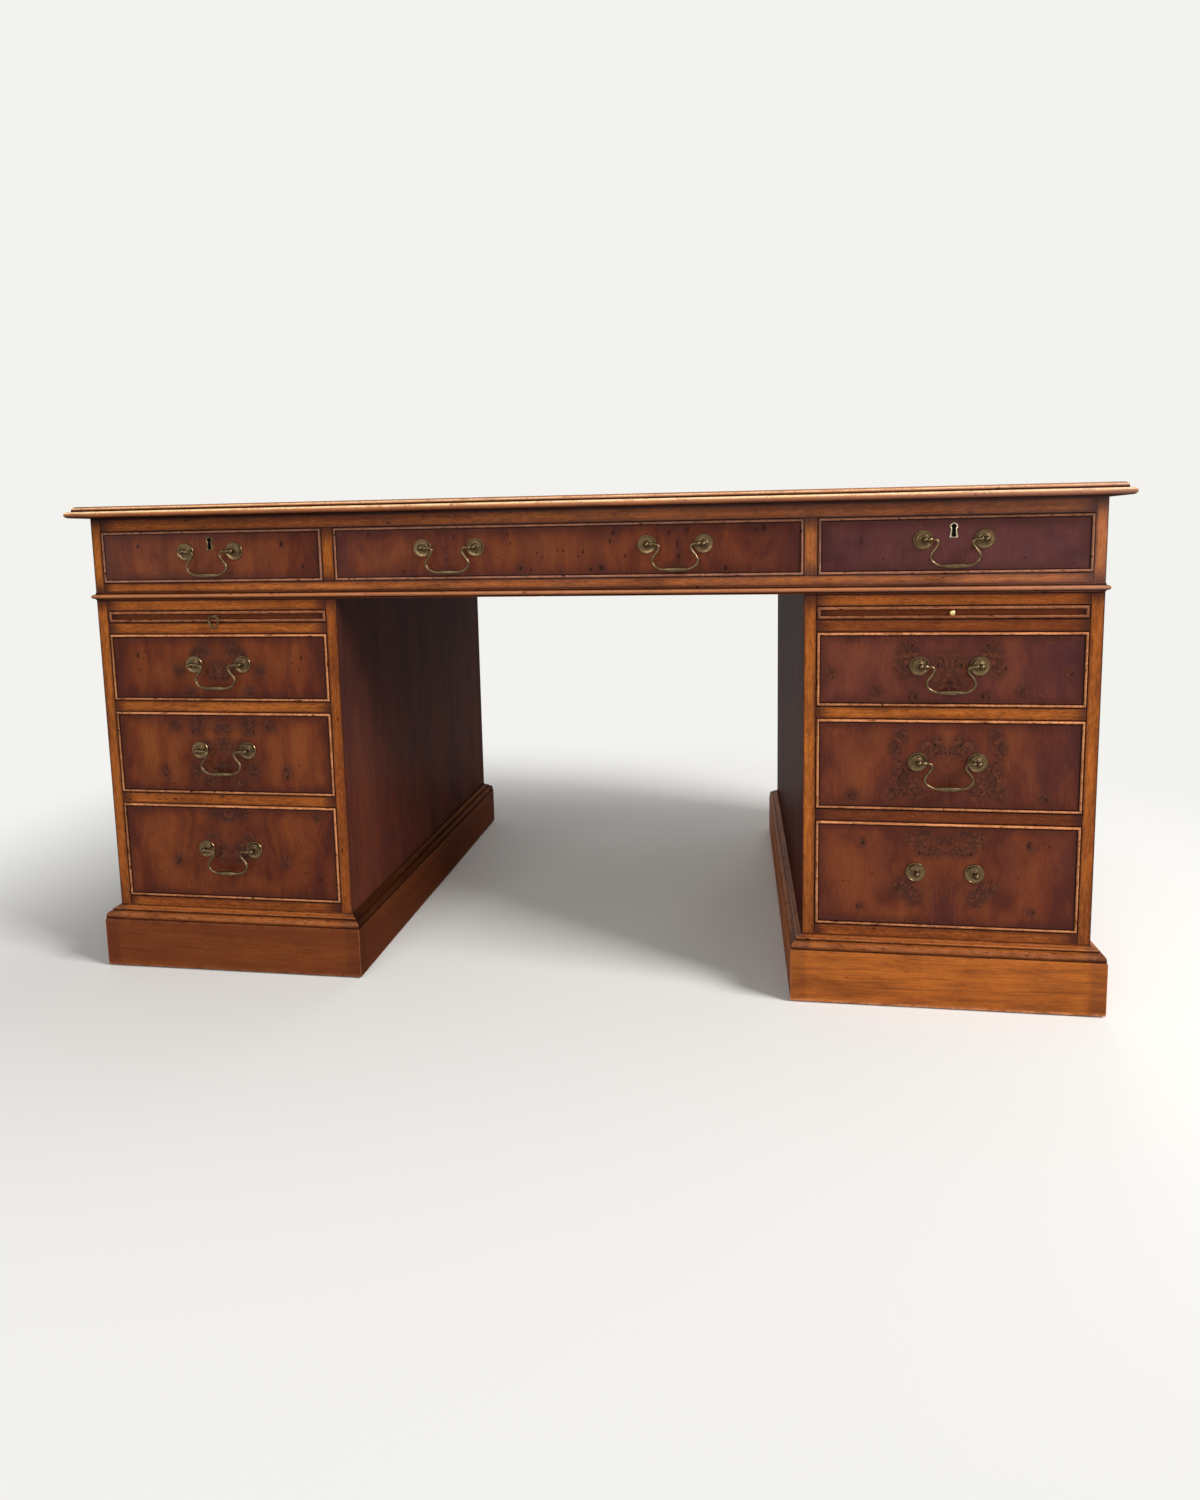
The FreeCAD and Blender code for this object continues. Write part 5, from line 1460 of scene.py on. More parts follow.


# Marks of each leaf in millimetres from its middle: (x, z, half width, half height). A mark right
# of the middle has its match on the left. One with a fifth value stands alone, that strong.
# A bloom entry gives the painted sheen at the leaf's left and right end.
VENEERS = {
    "left_upper": {
        "clumps": [(26, 30, 15, 17), (40, 20, 9, 11), (0, -6, 22, 13), (52, -39, 13, 10),
            (71, -5, 11, 10), (6, -4, 56, 30, 0.34)],
        "knots": [(-141, 20, 4, 8, 0.9), (-129, 27, 2.5, 5, 0.8), (143, 17, 3, 8, 0.8),
            (128, 8, 4, 5, 0.6), (122, -30, 6, 5, 0.6), (-131, 14, 2.5, 3, 0.8)],
        "honey": [(-95, -10, 55, 22, 0.5), (100, 12, 50, 30, 0.45), (-60, 25, 20, 30, 0.3),
            (0, 32, 7, 14, 0.5)],
        "dark": [(-178, 10, 20, 60, 0.6), (172, 0, 20, 60, 0.7), (-150, -45, 50, 12, 0.4)]},
    "left_middle": {
        "clumps": [(0, 43, 14, 9), (47, 36, 10, 10), (42, 56, 16, 8), (82, 47, 11, 11), (30, 10, 10, 14),
            (0, 15, 14, 12), (50, -30, 12, 18), (24, -48, 16, 9), (9, -26, 14, 8), (108, -31, 9, 12),
            (0, 46, 84, 14, 0.36), (4, -8, 50, 30, 0.36)],
        "knots": [(107, -39, 3, 4), (-85, 48, 3, 4, 0.7), (78, 44, 3, 3, 0.7), (-92, -52, 3, 3, 0.7),
            (-30, -15, 5, 8, 0.5)],
        "honey": [(132, 5, 18, 60), (90, -8, 14, 45), (165, -10, 12, 45, 0.5), (24, 30, 9, 26)],
        "dark": [(70, 10, 7, 55, 0.4), (-182, 20, 12, 50, 0.5), (180, 40, 14, 30, 0.7)]},
    "left_lower": {
        "clumps": [(20, 68, 16, 8), (0, 58, 9, 8), (16, 0, 12, 18), (34, 28, 10, 9),
            (155, 63, 10, 8, 0.9), (96, -16, 9, 12), (40, 0, 40, 26, 0.38), (0, 60, 50, 14, 0.34)],
        "knots": [(-28, 20, 3, 3, 0.9), (-91, -15, 3, 6, 0.8), (-97, -22, 3, 5, 0.7),
            (-128, -36, 3, 3, 0.9), (129, -32, 3, 5, 0.9), (155, -42, 3, 5, 0.9), (46, -38, 2.5, 3, 0.8),
            (63, -27, 2.5, 2.5, 0.6)],
        "honey": [(-110, 15, 45, 55, 0.6), (-95, -50, 50, 25, 0.35), (100, 40, 30, 30, 0.4),
            (-10, 40, 8, 30, 0.5), (12, 40, 6, 30, 0.4)],
        "dark": [(-165, 66, 30, 14, 0.9), (60, 60, 14, 30, 0.4), (165, 0, 20, 60, 0.3),
            (0, -55, 60, 14, 0.3)]},
    "right_upper": {
        "clumps": [(60, 26, 17, 18), (64, 1, 14, 12), (0, 10, 24, 16), (0, -24, 20, 10),
            (102, -31, 12, 10), (50, -38, 9, 9), (166, -5, 9, 10), (138, 45, 12, 8),
            (0, 0, 74, 34, 0.36)],
        "knots": [(78, 2, 3, 4), (-76, 30, 3, 3, 0.6), (168, -6, 3, 5, 0.8), (-168, -4, 3, 4, 0.7)],
        "honey": [(-125, 22, 35, 35, 0.7), (-150, -30, 30, 20, 0.4), (90, 0, 14, 40, 0.3)],
        "dark": [(150, 12, 40, 50, 0.8), (180, 30, 20, 40, 0.6), (30, 40, 16, 20, 0.4)]},
    "right_middle": {
        "clumps": [(66, 47, 12, 19), (76, 25, 10, 13), (34, 30, 8, 7), (16, 34, 11, 11), (14, 20, 14, 5),
            (64, -4, 12, 11), (62, -27, 20, 18), (41, -42, 12, 12), (78, -46, 9, 10), (135, -46, 12, 11),
            (0, -6, 70, 40, 0.38)],
        "knots": [(16, 19, 2.5, 2.5), (3, 19, 2.5, 2.5), (22, 36, 2.5, 3), (-56, -29, 3, 3, 0.8),
            (115, 46, 2.5, 3, 0.7), (126, 18, 2.5, 2.5, 0.7), (156, 38, 2.5, 3, 0.7)],
        "honey": [(-130, -10, 26, 50, 0.9), (0, 44, 9, 20, 0.8), (0, 0, 12, 22, 0.5),
            (118, 5, 10, 34, 0.6), (85, 20, 8, 40, 0.4)],
        "dark": [(150, 10, 45, 60, 0.55), (182, 50, 20, 30, 0.7), (0, -45, 30, 12, 0.4)]},
    "right_lower": {
        "clumps": [(44, 55, 16, 11), (29, 66, 11, 7), (7, 56, 7, 7), (24, 36, 20, 9), (62, -18, 17, 15),
            (45, -36, 12, 14), (122, -51, 8, 7), (118, 49, 5, 9), (-145, 55, 14, 12, 0.4),
            (0, 50, 64, 20, 0.3), (0, -24, 76, 22, 0.26)],
        "knots": [(-118, 48, 3, 7, 0.7), (117, 50, 3, 8, 0.8), (145, 50, 2.5, 6, 0.8),
            (-56, -12, 3, 3, 0.8), (-147, -12, 3, 2.5, 0.8)],
        "honey": [(-135, -5, 38, 60, 0.8), (122, 5, 16, 60, 0.5), (-80, -60, 40, 12, 0.4),
            (0, 25, 8, 12, 0.6)],
        "dark": [(90, 30, 12, 60, 0.35), (170, 30, 22, 60, 0.5), (-90, 30, 16, 40, 0.3)],
        "arches": [(-20, 26)]},
    "left_frieze": {
        "knots": [(-125, 18, 4, 7, 0.8), (-105, -7, 2.5, 2.5, 0.9), (122, 17, 4, 8, 0.9),
            (156, -18, 3.5, 7, 0.9), (-158, -12, 4, 10, 0.5)],
        "clumps": [(124, 17, 8, 12, 0.4)],
        "honey": [(-110, -15, 34, 16, 0.6), (85, 2, 30, 30, 0.55), (-60, 10, 20, 30, 0.35)],
        "dark": [(178, 0, 20, 40, 0.8), (-182, 0, 14, 40, 0.5)],
        "bloom": (0.07, 0.0)},
    "right_frieze": {
        "knots": [(-128, 6, 3, 7, 0.55)],
        "honey": [(-90, -12, 30, 14, 0.4), (60, 25, 60, 8, 0.3), (10, -6, 50, 14, 0.3)],
        "dark": [(-176, 0, 16, 44, 0.6), (-128, 6, 7, 12, 0.9), (-147, 2, 7, 9, 0.5),
            (-161, -18, 16, 8, 0.9), (130, 12, 9, 10, 0.7), (147, 8, 8, 7, 0.5), (-72, 2, 9, 8, 0.4),
            (160, -16, 20, 11, 1.2), (176, 16, 14, 34, 0.6), (110, 30, 60, 6, 0.5),
            (-120, -4, 50, 30, 0.3), (100, -4, 22, 18, 0.3)],
        "bloom": (0.0, 0.03)},
    "centre_frieze": {
        "knots": [(304, 29, 3, 9), (248, -29, 4, 6), (165, 24, 3, 6), (177, 8, 3, 7), (179, -11, 2.5, 7),
            (192, 27, 2.5, 5), (81, 26, 4, 5), (76, 13, 3, 8), (99, -9, 3, 4), (62, -26, 5, 7),
            (35, -2, 3, 4), (46, -28, 4, 5), (5, 0, 3, 3), (28, -9, 2.5, 3), (318, 33, 2.5, 4),
            (292, 27, 4, 5, 0.8)],
        "clumps": [(78, 18, 9, 13, 0.5), (-62, -26, 9, 9, 0.6), (62, -26, 9, 9, 0.6),
            (300, 24, 12, 12, 0.5), (-304, 24, 9, 12, 0.35), (178, 0, 6, 20, 0.35)],
        "honey": [(40, 10, 60, 30, 0.3), (-40, 10, 60, 30, 0.3), (-240, 2, 30, 26, 0.6),
            (-300, -10, 20, 20, 0.45), (-20, 0, 80, 26, 0.25), (140, -8, 20, 20, 0.3),
            (225, 5, 24, 26, 0.3)],
        "dark": [(180, 0, 7, 40, 0.6), (-350, 0, 20, 50, 0.5), (345, 0, 35, 50, 0.8),
            (285, 0, 30, 40, 0.3), (-180, 0, 8, 40, 0.5)],
        "bloom": (0.03, 0.0)},
}
DOOR_LEAF = {
    "clumps": [(12, 132, 9, 12), (34, 104, 10, 9), (12, 76, 11, 9), (46, 66, 8, 9), (9, -8, 10, 12),
        (32, -30, 12, 9), (56, -50, 9, 9), (18, -92, 9, 9), (62, -124, 11, 10), (8, -146, 9, 8),
        (84, 18, 8, 9), (72, 140, 9, 11)],
    "knots": [(64, 22, 3, 6), (34, -128, 3, 4), (-70, 60, 3, 5, 0.8)],
    "honey": [(40, 0, 24, 70), (0, -60, 12, 50), (30, 130, 14, 30), (44, -100, 16, 20)],
    "dark": [(96, 60, 18, 120), (92, -110, 20, 60), (0, 30, 14, 30, 0.5)],
    "arches": [(-40, 30)]}
REAR_LEAF = {
    "clumps": [(0, 5, 26, 18), (70, 20, 14, 14), (110, -20, 10, 9)],
    "knots": [(130, 8, 3, 7), (88, -22, 3, 5)],
    "honey": [(100, 0, 40, 40), (28, 10, 10, 30)],
    "dark": [(178, 0, 20, 60)]}


class DESK_OT_drawers(Operator):
    """Make the nine drawers: veneered fronts, cock beads and oak boxes"""
    bl_idname = "desk.drawers"
    bl_label = "Drawers"

    TONES = {"left_frieze": 0.52, "left_upper": 0.5, "left_middle": 0.5, "left_lower": 0.5,
             "centre_frieze": 0.58, "right_frieze": 1.0, "right_upper": 0.74,
             "right_middle": 0.64, "right_lower": 0.6}

    def execute(self, context):
        for name in DRAWERS:
            node = name + "_drawer"
            solids = solids_of(node)
            veneered(name + "_front", node, solids[:1], -1, self.TONES[name], VENEERS[name])
            boards(name + "_box", node, "lining", solids[1:5])
            # haze is the share of painted sheen on the beads; shades_and_grime give each side grime and
            # painted shade.
            if name.endswith("frieze"):
                marks = {"tone": 0.85, "rubbed": 0.42, "haze": 0.26,
                         "shades_and_grime": (0.1, 0.15, 0.2, 0)}
            else:
                marks = {"tone": 0.5, "rubbed": 1.0, "haze": 0.03,
                         "shades_and_grime": (0.25, 0, 0.5 if name.startswith("left_") else 0.25, 0.28)}
            bead_frame(name + "_beads", node, solids[5:], -1, **marks)
        return {"FINISHED"}


class DESK_OT_slides(Operator):
    """Make the two writing slides"""
    bl_idname = "desk.slides"
    bl_label = "Writing slides"

    def execute(self, context):
        for side in SIDES:
            node = side + "_slide"
            solids = solids_of(node)
            # The slide boards are stained deep and darkened all over, as painted shade of the recess
            # between their beads; their beads get a light painted sheen.
            boards(side + "_slide_board", node, "frame_yew", solids[:2], along=0, tone=1.0,
                   paint=lambda grain: (None, np.tile((0, 0.4), (len(grain), 1))))
            bead_frame(side + "_slide_beads", node, solids[2:], -1, 0.8, 0.3, 1.25, 0.06)
        return {"FINISHED"}


# ---------------------------------------------------------------- operators: brass
def rosette_profile(radius):
    """Dished backplate with turned rings: (height, radius, rubbed, grimed) from its foot."""
    rings = [(0, 0, 0, 0), (0, 1, 0, 0.6), (0.05, 1, 0, 0.3), (0.1, 0.985, 0.4, 0),
             (0.13, 0.96, 0.9, 0), (0.13, 0.925, 0.8, 0), (0.1, 0.9, 0, 0.5),
             (0.095, 0.87, 0.1, 0.3), (0.075, 0.8, 0.3, 0.1), (0.05, 0.7, 0.2, 0.2),
             (0.04, 0.62, 0, 0.5), (0.05, 0.57, 0, 0.7), (0.075, 0.545, 0.1, 0.4),
             (0.085, 0.5, 0.3, 0.3), (0.075, 0.46, 0, 0.7), (0.07, 0.42, 0, 0.8),
             (0.11, 0.37, 0.2, 0.5), (0.14, 0.3, 0, 0.7), (0.14, 0, 0, 1)]
    return [(height * radius, across * radius, *marks) for height, across, *marks in rings]


def post_profile(ball, standoff):
    """Stem, collar and ball of a handle post, with a small button on the ball."""
    stem = 0.55 * ball
    turns = [(step, math.radians(-58 + 11.2 * step)) for step in range(1, 12)]
    return [(0.09 * standoff, 0), (0.09 * standoff, 1.3 * stem, 0, 0.9),
            (0.17 * standoff, 1.35 * stem, 0.5, 0.2), (0.22 * standoff, stem, 0, 1),
            (0.46 * standoff, 0.86 * stem, 0, 0.8), (standoff - 1.02 * ball, stem, 0, 0.9),
            (standoff - 0.9 * ball, 1.15 * stem, 0, 0.8),
            *((standoff + ball * math.sin(turn), ball * math.cos(turn),
               0.3 if step > 4 else 0.0, 0.7 if step in (9, 10) else 0.35)
              for step, turn in turns),
            (standoff + 0.98 * ball, 0.36 * ball, 0, 1),
            (standoff + 1.06 * ball, 0.3 * ball, 0.8, 0),
            (standoff + 1.13 * ball, 0.16 * ball, 1, 0), (standoff + 1.15 * ball, 0, 1, 0)]


def smooth(corners, steps=5):
    """Catmull-Rom curve through the corners."""
    places = np.array([corners[0], *corners, corners[-1]], float)
    made = [0.5 * (2 * start + (end - before) * part
                   + (2 * before - 5 * start + 4 * end - after) * part ** 2
                   + (3 * start - before - 3 * end + after) * part ** 3)
            for before, start, end, after in zip(places, places[1:], places[2:], places[3:])
            for part in np.arange(steps) / steps]
    return made + [places[-1]]


def bail_line(metals):
    """Line of a swan-neck bail from pin to pin as (x, z, radius), its pivot at the origin."""
    wire, swell = metals.wire_radius, metals.grip_radius - metals.wire_radius
    pin = ((43.5, 1), (38.0, 1), (37.4, 1.25), (36.6, 1.62), (35.2, 1.72), (33.6, 1.55),
           (32.4, 1.15))
    neck = ((31.0, 0), (27.6, -0.2), (24.7, -1.9), (23.6, -5.0), (24.5, -8.6), (27.4, -13.0),
            (30.8, -17.4), (33.1, -21.6), (33.7, -25.6), (32.3, -29.6), (29.2, -32.9),
            (25.0, -35.3), (20.6, -36.9))
    grip = ((19.0, -37.2, 0.04), (17.0, -37.45, 0.12), (14.5, -37.5, 0.28),
            (12.0, -37.5, 0.48), (9.5, -37.5, 0.68), (7.0, -37.5, 0.84), (4.5, -37.5, 0.95),
            (2.6, -37.5, 0.98), (2.0, -37.5, 0.92), (1.2, -37.5, 1.0), (0.0, -37.5, 1.0))
    half = [(x, 0, wire * thickness) for x, thickness in pin]
    half += [(x, z, wire) for x, z in smooth(neck)]
    half += [(x, z, wire + swell * part) for x, z, part in grip]
    return mirrored([(x * MILLIMETRE, z * MILLIMETRE, radius) for x, z, radius in half])


def mirrored(half):
    """A line of (x, z, radius) to the middle, and back on the other side."""
    return half + [(-x, z, radius) for x, z, radius in reversed(half[:-1])]


def wire_line(name, lines, centre, marks=(0.3, 0, 0)):
    """Mesh of open lines with a radius, a rub and a grime at every point."""
    points, edges, radii = [], [], []
    for line in lines:
        start = len(points)
        points += [(centre.x + x, centre.y, centre.z + z) for x, z, _ in line]
        radii += [radius for _, _, radius in line]
        edges += [(start + i, start + i + 1) for i in range(len(line) - 1)]
    mesh = plain_mesh(name, points, edges)
    layer = mesh.attributes.new("radius_here", "FLOAT", "POINT")
    layer.data.foreach_set("value", radii)
    keep_vectors(mesh, "wear", [marks] * len(points))
    return mesh


class DESK_OT_handles(Operator):
    """Make the rosettes, posts and swan-neck bails on both sides of the desk"""
    bl_idname = "desk.handles"
    bl_label = "Handles"

    def execute(self, context):
        metals = context.scene.desk_metals
        patterns = []
        for name, shape, sides, finish in (
                ("rosette", rosette_profile(metals.rosette_radius), 40, "antique_brass_face"),
                ("post", post_profile(metals.ball_radius, metals.standoff), 24,
                 "old_brass_face")):
            made = pattern_object(name, *turning(shape, Vector(), Z, sides),
                                  turned_wear(shape, sides))
            patterns.append((name, made, finish))
        fittings, wires = fitting_tree(), wire_tree()

        def mounts(name, node, places, facing):
            for part, pattern, finish in patterns:
                label = name + "_" + part + "s"
                grow(label, node, finish, plain_mesh(label, places), fittings, Fitting=pattern,
                     Facing=(-facing * math.pi / 2, 0, 0), Turn=0.4, Seed=7)

        def on_face(solids, face):
            return [Vector((place.x, face, place.z))
                    for place in (inside(*box_of(solid)) for solid in solids)]

        def bails(name, node, mesh):
            grow(name, node, "old_brass_face", mesh, wires, Sides=16)

        for name in DRAWERS:
            node = name + "_handle_mounts"
            places = on_face(solids_of(node)[0::2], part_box(node)[1].y)
            mounts(name, node, places, -1)
            for number in range(0, len(places), 2):
                suffix = ("_left", "_right")[number // 2] if len(places) > 2 else ""
                bail = name + suffix + "_bail"
                if bail in frame["nodes"]:
                    centre = (places[number] + places[number + 1]) / 2 - Y * metals.standoff
                    bails(name + suffix + "_swan_bail", bail,
                          wire_line(bail, [bail_line(metals)], centre))
        node = "rear_false_handles"
        solids = solids_of(node)
        face = min(box_of(solid)[0].y for solid in solids[0::5])
        lefts, rights = (on_face(solids[start::5], face) for start in (0, 2))
        mounts("rear", node, lefts + rights, 1)
        lines = [[(x + centre.x, z + centre.z, radius) for x, z, radius in bail_line(metals)]
                 for centre in ((left + right) / 2 for left, right in zip(lefts, rights))]
        bails("rear_swan_bails", node,
              wire_line("rear_bails", lines, Y * (face + metals.standoff)))
        for _, pattern, _ in patterns:
            bpy.data.objects.remove(pattern)
        return {"FINISHED"}


class DESK_OT_pulls(Operator):
    """Make the knob of the right slide and the bent ring of the left one"""
    bl_idname = "desk.pulls"
    bl_label = "Slide pulls"

    # Stem of each pull: (share of its reach, share of its ball).
    KNOB_STEM = ((0, 0.62), (0.1, 0.6), (0.16, 0.44), (0.3, 0.42))
    POST_STEM = ((0, 1.25), (0.14, 1.1), (0.2, 0.62), (0.4, 0.66))
    # Half of the ring: (share of its half width, share of its drop).
    RING = ((0.04, 0), (0.3, 0), (0.5, -0.005), (0.7, -0.03), (0.86, -0.09), (0.96, -0.18),
            (1.0, -0.29), (0.98, -0.4), (0.93, -0.5), (0.84, -0.6), (0.7, -0.72),
            (0.55, -0.83), (0.38, -0.92), (0.2, -0.985), (0, -1.0))

    def execute(self, context):
        self.pull("slide_knob", "right_slide_knob", "bright_brass_face", 1, self.KNOB_STEM,
                  0.92, [-62 + 15.2 * step for step in range(11)], 32)
        self.pull("ring_post", "left_slide_post", "old_brass_face", 0.8, self.POST_STEM,
                  0.8, [-45 + 14 * step for step in range(10)], 24)
        low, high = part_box("left_slide_ring")
        wire = (high.y - low.y) / 2
        half = (high.x - low.x) / 2 - wire
        drop = high.z - low.z - 2 * wire
        centre = inside(low, high)
        centre.z = high.z - wire
        line = mirrored([(x * half, z * drop, 1.4 * wire) for x, z in self.RING])
        grow("ring_pull", "left_slide_ring", "old_brass_face",
             wire_line("ring", [line], centre, (0, 0.3, 0)), wire_tree(), Sides=14)
        return {"FINISHED"}

    @staticmethod
    def pull(name, node, finish, fullness, stem, flatness, turns, sides):
        """A turned stem with a slightly flattened ball on its end."""
        low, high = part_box(node)
        ball, reach = (high.x - low.x) / 2 * fullness, high.y - low.y
        profile = [(0, 0), *((along * reach, across * ball) for along, across in stem)]
        for turn in (math.radians(turn) for turn in turns):
            profile.append((reach - ball * flatness + ball * flatness * math.sin(turn),
                            ball * math.cos(turn)))
        stock = Stock(name)
        stock.add(*turning([*profile, (reach, 0)], inside(low, high, 0.5, 1, 0.5), -Y, sides))
        stock.piece(node, finish, weighted=False)


class DESK_OT_locks(Operator):
    """Make the escutcheons, lock cases and bolts of the side frieze drawers"""
    bl_idname = "desk.locks"
    bl_label = "Locks"

    # Outline of a keyhole plate below its round head, and of its opening.
    FOOT = ((0.74, 0.38), (0.8, 0.52), (0.88, 0.7), (0.98, 0.9), (0.94, 0.98), (0.5, 1))
    OPENING = ((0.3, 0.3), (0.33, 0.5), (0.37, 0.7), (0.43, 0.94), (0.4, 1), (0.2, 1))
    # Section of its rim: (share across, depth, rubbed, grimed).
    RIM = ((0, 0.0020, 0, 1), (0, 0.0, 0, 0.9), (0.14, -0.0007, 0, 0.5),
           (0.36, -0.0011, 0.3, 0.1), (0.62, -0.0010, 0.3, 0.1), (0.86, -0.0004, 0, 0.5),
           (1, 0.0005, 0, 1), (1, 0.0020, 0, 1))

    def execute(self, context):
        for side, finish in zip(SIDES, ("antique_brass_face", "rubbed_brass_face")):
            node = side + "_frieze_lock"
            plate, case = solids_of(node)
            rim = Stock(side + "_escutcheon")
            self.escutcheon(rim, *box_of(plate), context.scene.desk_metals.escutcheon_rim)
            rim.piece(node, finish, "keyhole", weighted=False)
            arris = 0.3 * MILLIMETRE
            boards(side + "_lock_case", node, "steel_face", [case], arris=arris)
            boards(side + "_lock_tongue", node + "_bolt", "steel_face", arris=arris)
        return {"FINISHED"}

    def escutcheon(self, stock, low, high, rim):
        """Raised rim round a keyhole: round head, slight waist and splayed foot."""
        half = 0.55 * (high.x - low.x)
        middle_x = (low.x + high.x) / 2
        head = 0.94 * half
        centre_z = high.z + 0.5 * MILLIMETRE - head
        foot = low.z - 0.5 * MILLIMETRE - centre_z
        outlines = []
        for radius, end, tall, shape in ((head, -42, foot, self.FOOT),
                                         (head - rim, -50, foot + 0.8 * rim, self.OPENING)):
            right = arc((0, 0), radius, 90, end, 12)
            right += [(across * half, along * tall) for across, along in shape]
            outlines.append(right + [(-x, z) for x, z in reversed(right[1:])])
        outer, inner = outlines
        many = len(outer)
        points = [(middle_x + ox + (ix - ox) * part, low.y + 0.0003 + depth,
                   centre_z + oz + (iz - oz) * part)
                  for part, depth, _, _ in self.RIM for (ox, oz), (ix, iz) in zip(outer, inner)]
        wear = [marks for _, _, *marks in self.RIM for _ in outer]
        stock.add(points, tube(len(self.RIM), many, closed=True), wear=wear)
        # Dark sheet behind the opening in the keyhole finish: painted shade of the lock's hollow.
        behind = [(middle_x + x * 1.02, low.y + depth, centre_z + z * 1.02)
                  for depth in (0.0012, 0.0018) for x, z in inner]
        stock.add(behind, tube(2, many), index=1)


# ---------------------------------------------------------------- operators: far side
class DESK_OT_false_fronts(Operator):
    """Make the three false drawer fronts of the far side"""
    bl_idname = "desk.false_fronts"
    bl_label = "False fronts"

    def execute(self, context):
        node = "rear_false_fronts"
        solids = solids_of(node)
        veneered("rear_fronts", node, solids[::5], 1, 0.5, REAR_LEAF)
        beads = [solid for number, solid in enumerate(solids) if number % 5]
        bead_frame("rear_beads", node, beads, 1, 0.6, 0.4)
        return {"FINISHED"}


class DESK_OT_doors(Operator):
    """Make the cupboard doors, their hinges, screws and knobs"""
    bl_idname = "desk.doors"
    bl_label = "Cupboard doors"

    # Profile of a knob: (share of its reach, share of its radius, rubbed, grimed).
    KNOB = ((0, 0, 0, 0), (0, 1, 0, 1), (0.05, 1, 0.4, 0), (0.09, 0.92, 0.2, 0.2),
            (0.12, 0.6, 0, 1), (0.2, 0.42, 0, 0.8), (0.38, 0.4, 0, 0.6), (0.5, 0.6, 0, 0.4),
            (0.58, 0.88, 0.1, 0.2), (0.68, 1, 0.7, 0), (0.78, 0.99, 0.8, 0),
            (0.88, 0.86, 0.8, 0), (0.95, 0.6, 0.7, 0), (0.99, 0.3, 0.7, 0), (1, 0, 0.7, 0))
    # Profile of a knuckle: (share of its length, share of its radius).
    KNUCKLE = ((0.02, 0), (0.02, 0.97), (0.05, 1.02), (0.94, 1.02), (0.98, 0.9), (0.98, 0))

    def execute(self, context):
        for side in SIDES:
            node = side + "_rear_door"
            solids = solids_of(node)
            boards(side + "_door_frame", node, "frame_yew", solids[:4])
            face = box_of(solids[4])[1].y
            boards(side + "_door_panel", node, "burr_front", solids[4:5], along=0, across=2,
                   grid=(face, DOOR_GRID), paint=veneer_painter(DOOR_LEAF))
            node = side + "_door_fittings"
            solids = solids_of(node)
            self.hinges(side + "_door", solids[:2], node, True)
            low, high = box_of(solids[2])
            radius, reach = (high.x - low.x) / 2, high.y - low.y
            shape = [(reach * along, radius * across, *marks)
                     for along, across, *marks in self.KNOB]
            knob = Stock(side + "_door_knob")
            knob.add(*turning(shape, inside(low, high, 0.5, 0, 0.5), Y, 32),
                     wear=[mark[:2] for mark in turned_wear(shape, 32)])
            knob.piece(node, "antique_brass_face", weighted=False)
        node = "door_frame_hinges"
        self.hinges("frame", solids_of(node), node, False)
        return {"FINISHED"}

    def hinges(self, name, solids, node, moving):
        """Leaves let into the wood with three screws each, and round knuckles on a pin."""
        leaves = Stock(name + "_leaves")
        screws = {-1: [], 1: []}
        for solid in solids:
            leaves.board(solid, 0.15 * MILLIMETRE)
            low, high = box_of(solid)
            radius = (high.x - low.x) / 2
            middle = (low.z + high.z) / 2
            span = high.z - middle
            foot = Vector(((low.x + high.x) / 2, high.y - radius, middle if moving else low.z))
            leaves.add(*turning([(along * span, across * radius)
                                 for along, across in self.KNUCKLE], foot, Z, 24))
            leaf = solid[0][solid[0][:, 1] < low.y + 0.004, 0]
            facing = 1 if foot.x > leaf.mean() else -1
            face = leaf.max() if facing > 0 else leaf.min()
            for part, back in ((0.14, 8.0), (0.5, 11.0), (0.86, 8.0)):
                screws[facing].append(Vector((face, high.y - 2 * radius - back * MILLIMETRE,
                                              low.z + part * (high.z - low.z))))
        leaves.piece(node, "antique_brass_face", weighted=False)
        head = pattern_object("screw", *self.screw_head())
        for facing, places in screws.items():
            if places:
                grow(name + "_screws" + ("_a", "_b")[facing > 0], node, "antique_brass_face",
                     plain_mesh("screws", places), fitting_tree(), Fitting=head,
                     Facing=(0, facing * math.pi / 2, 0), Turn=3.0, Seed=11)
        bpy.data.objects.remove(head)

    @staticmethod
    def screw_head():
        """Countersunk head, flush with its leaf, with a slot cut across it."""
        radius, proud, slot = 1.9 * MILLIMETRE, 0.12 * MILLIMETRE, 0.25 * MILLIMETRE
        points, faces = turning([(-proud, 0), (-proud, radius), (0.2 * proud, radius),
                                 (0.2 * proud, 0)], Vector(), Z, 20)
        opening = math.degrees(math.acos(slot / radius))
        for side in (0, 180):
            half = arc((0, 0), 0.94 * radius, side - opening, side + opening, 9)
            start = len(points)
            points += [Vector((x, y, height)) for height in (0, proud) for x, y in half]
            faces += [[start + i for i in face] for face in tube(2, len(half))]
        return points, faces


class DESK_OT_shelves(Operator):
    """Make the cupboard shelves and their cleats"""
    bl_idname = "desk.shelves"
    bl_label = "Shelves"

    def execute(self, context):
        boards("shelves", "cupboard_shelves", "lining")
        return {"FINISHED"}


# ---------------------------------------------------------------- stage
def seen_directly(net):
    """1 where the camera sees a surface itself, mirrored or through glass, and else 0."""
    rays = net.make("ShaderNodeLightPath")
    seen = net.math("MAXIMUM", rays["Is Camera Ray"], rays["Is Glossy Ray"])
    return net.math("MAXIMUM", seen, rays["Is Transmission Ray"])


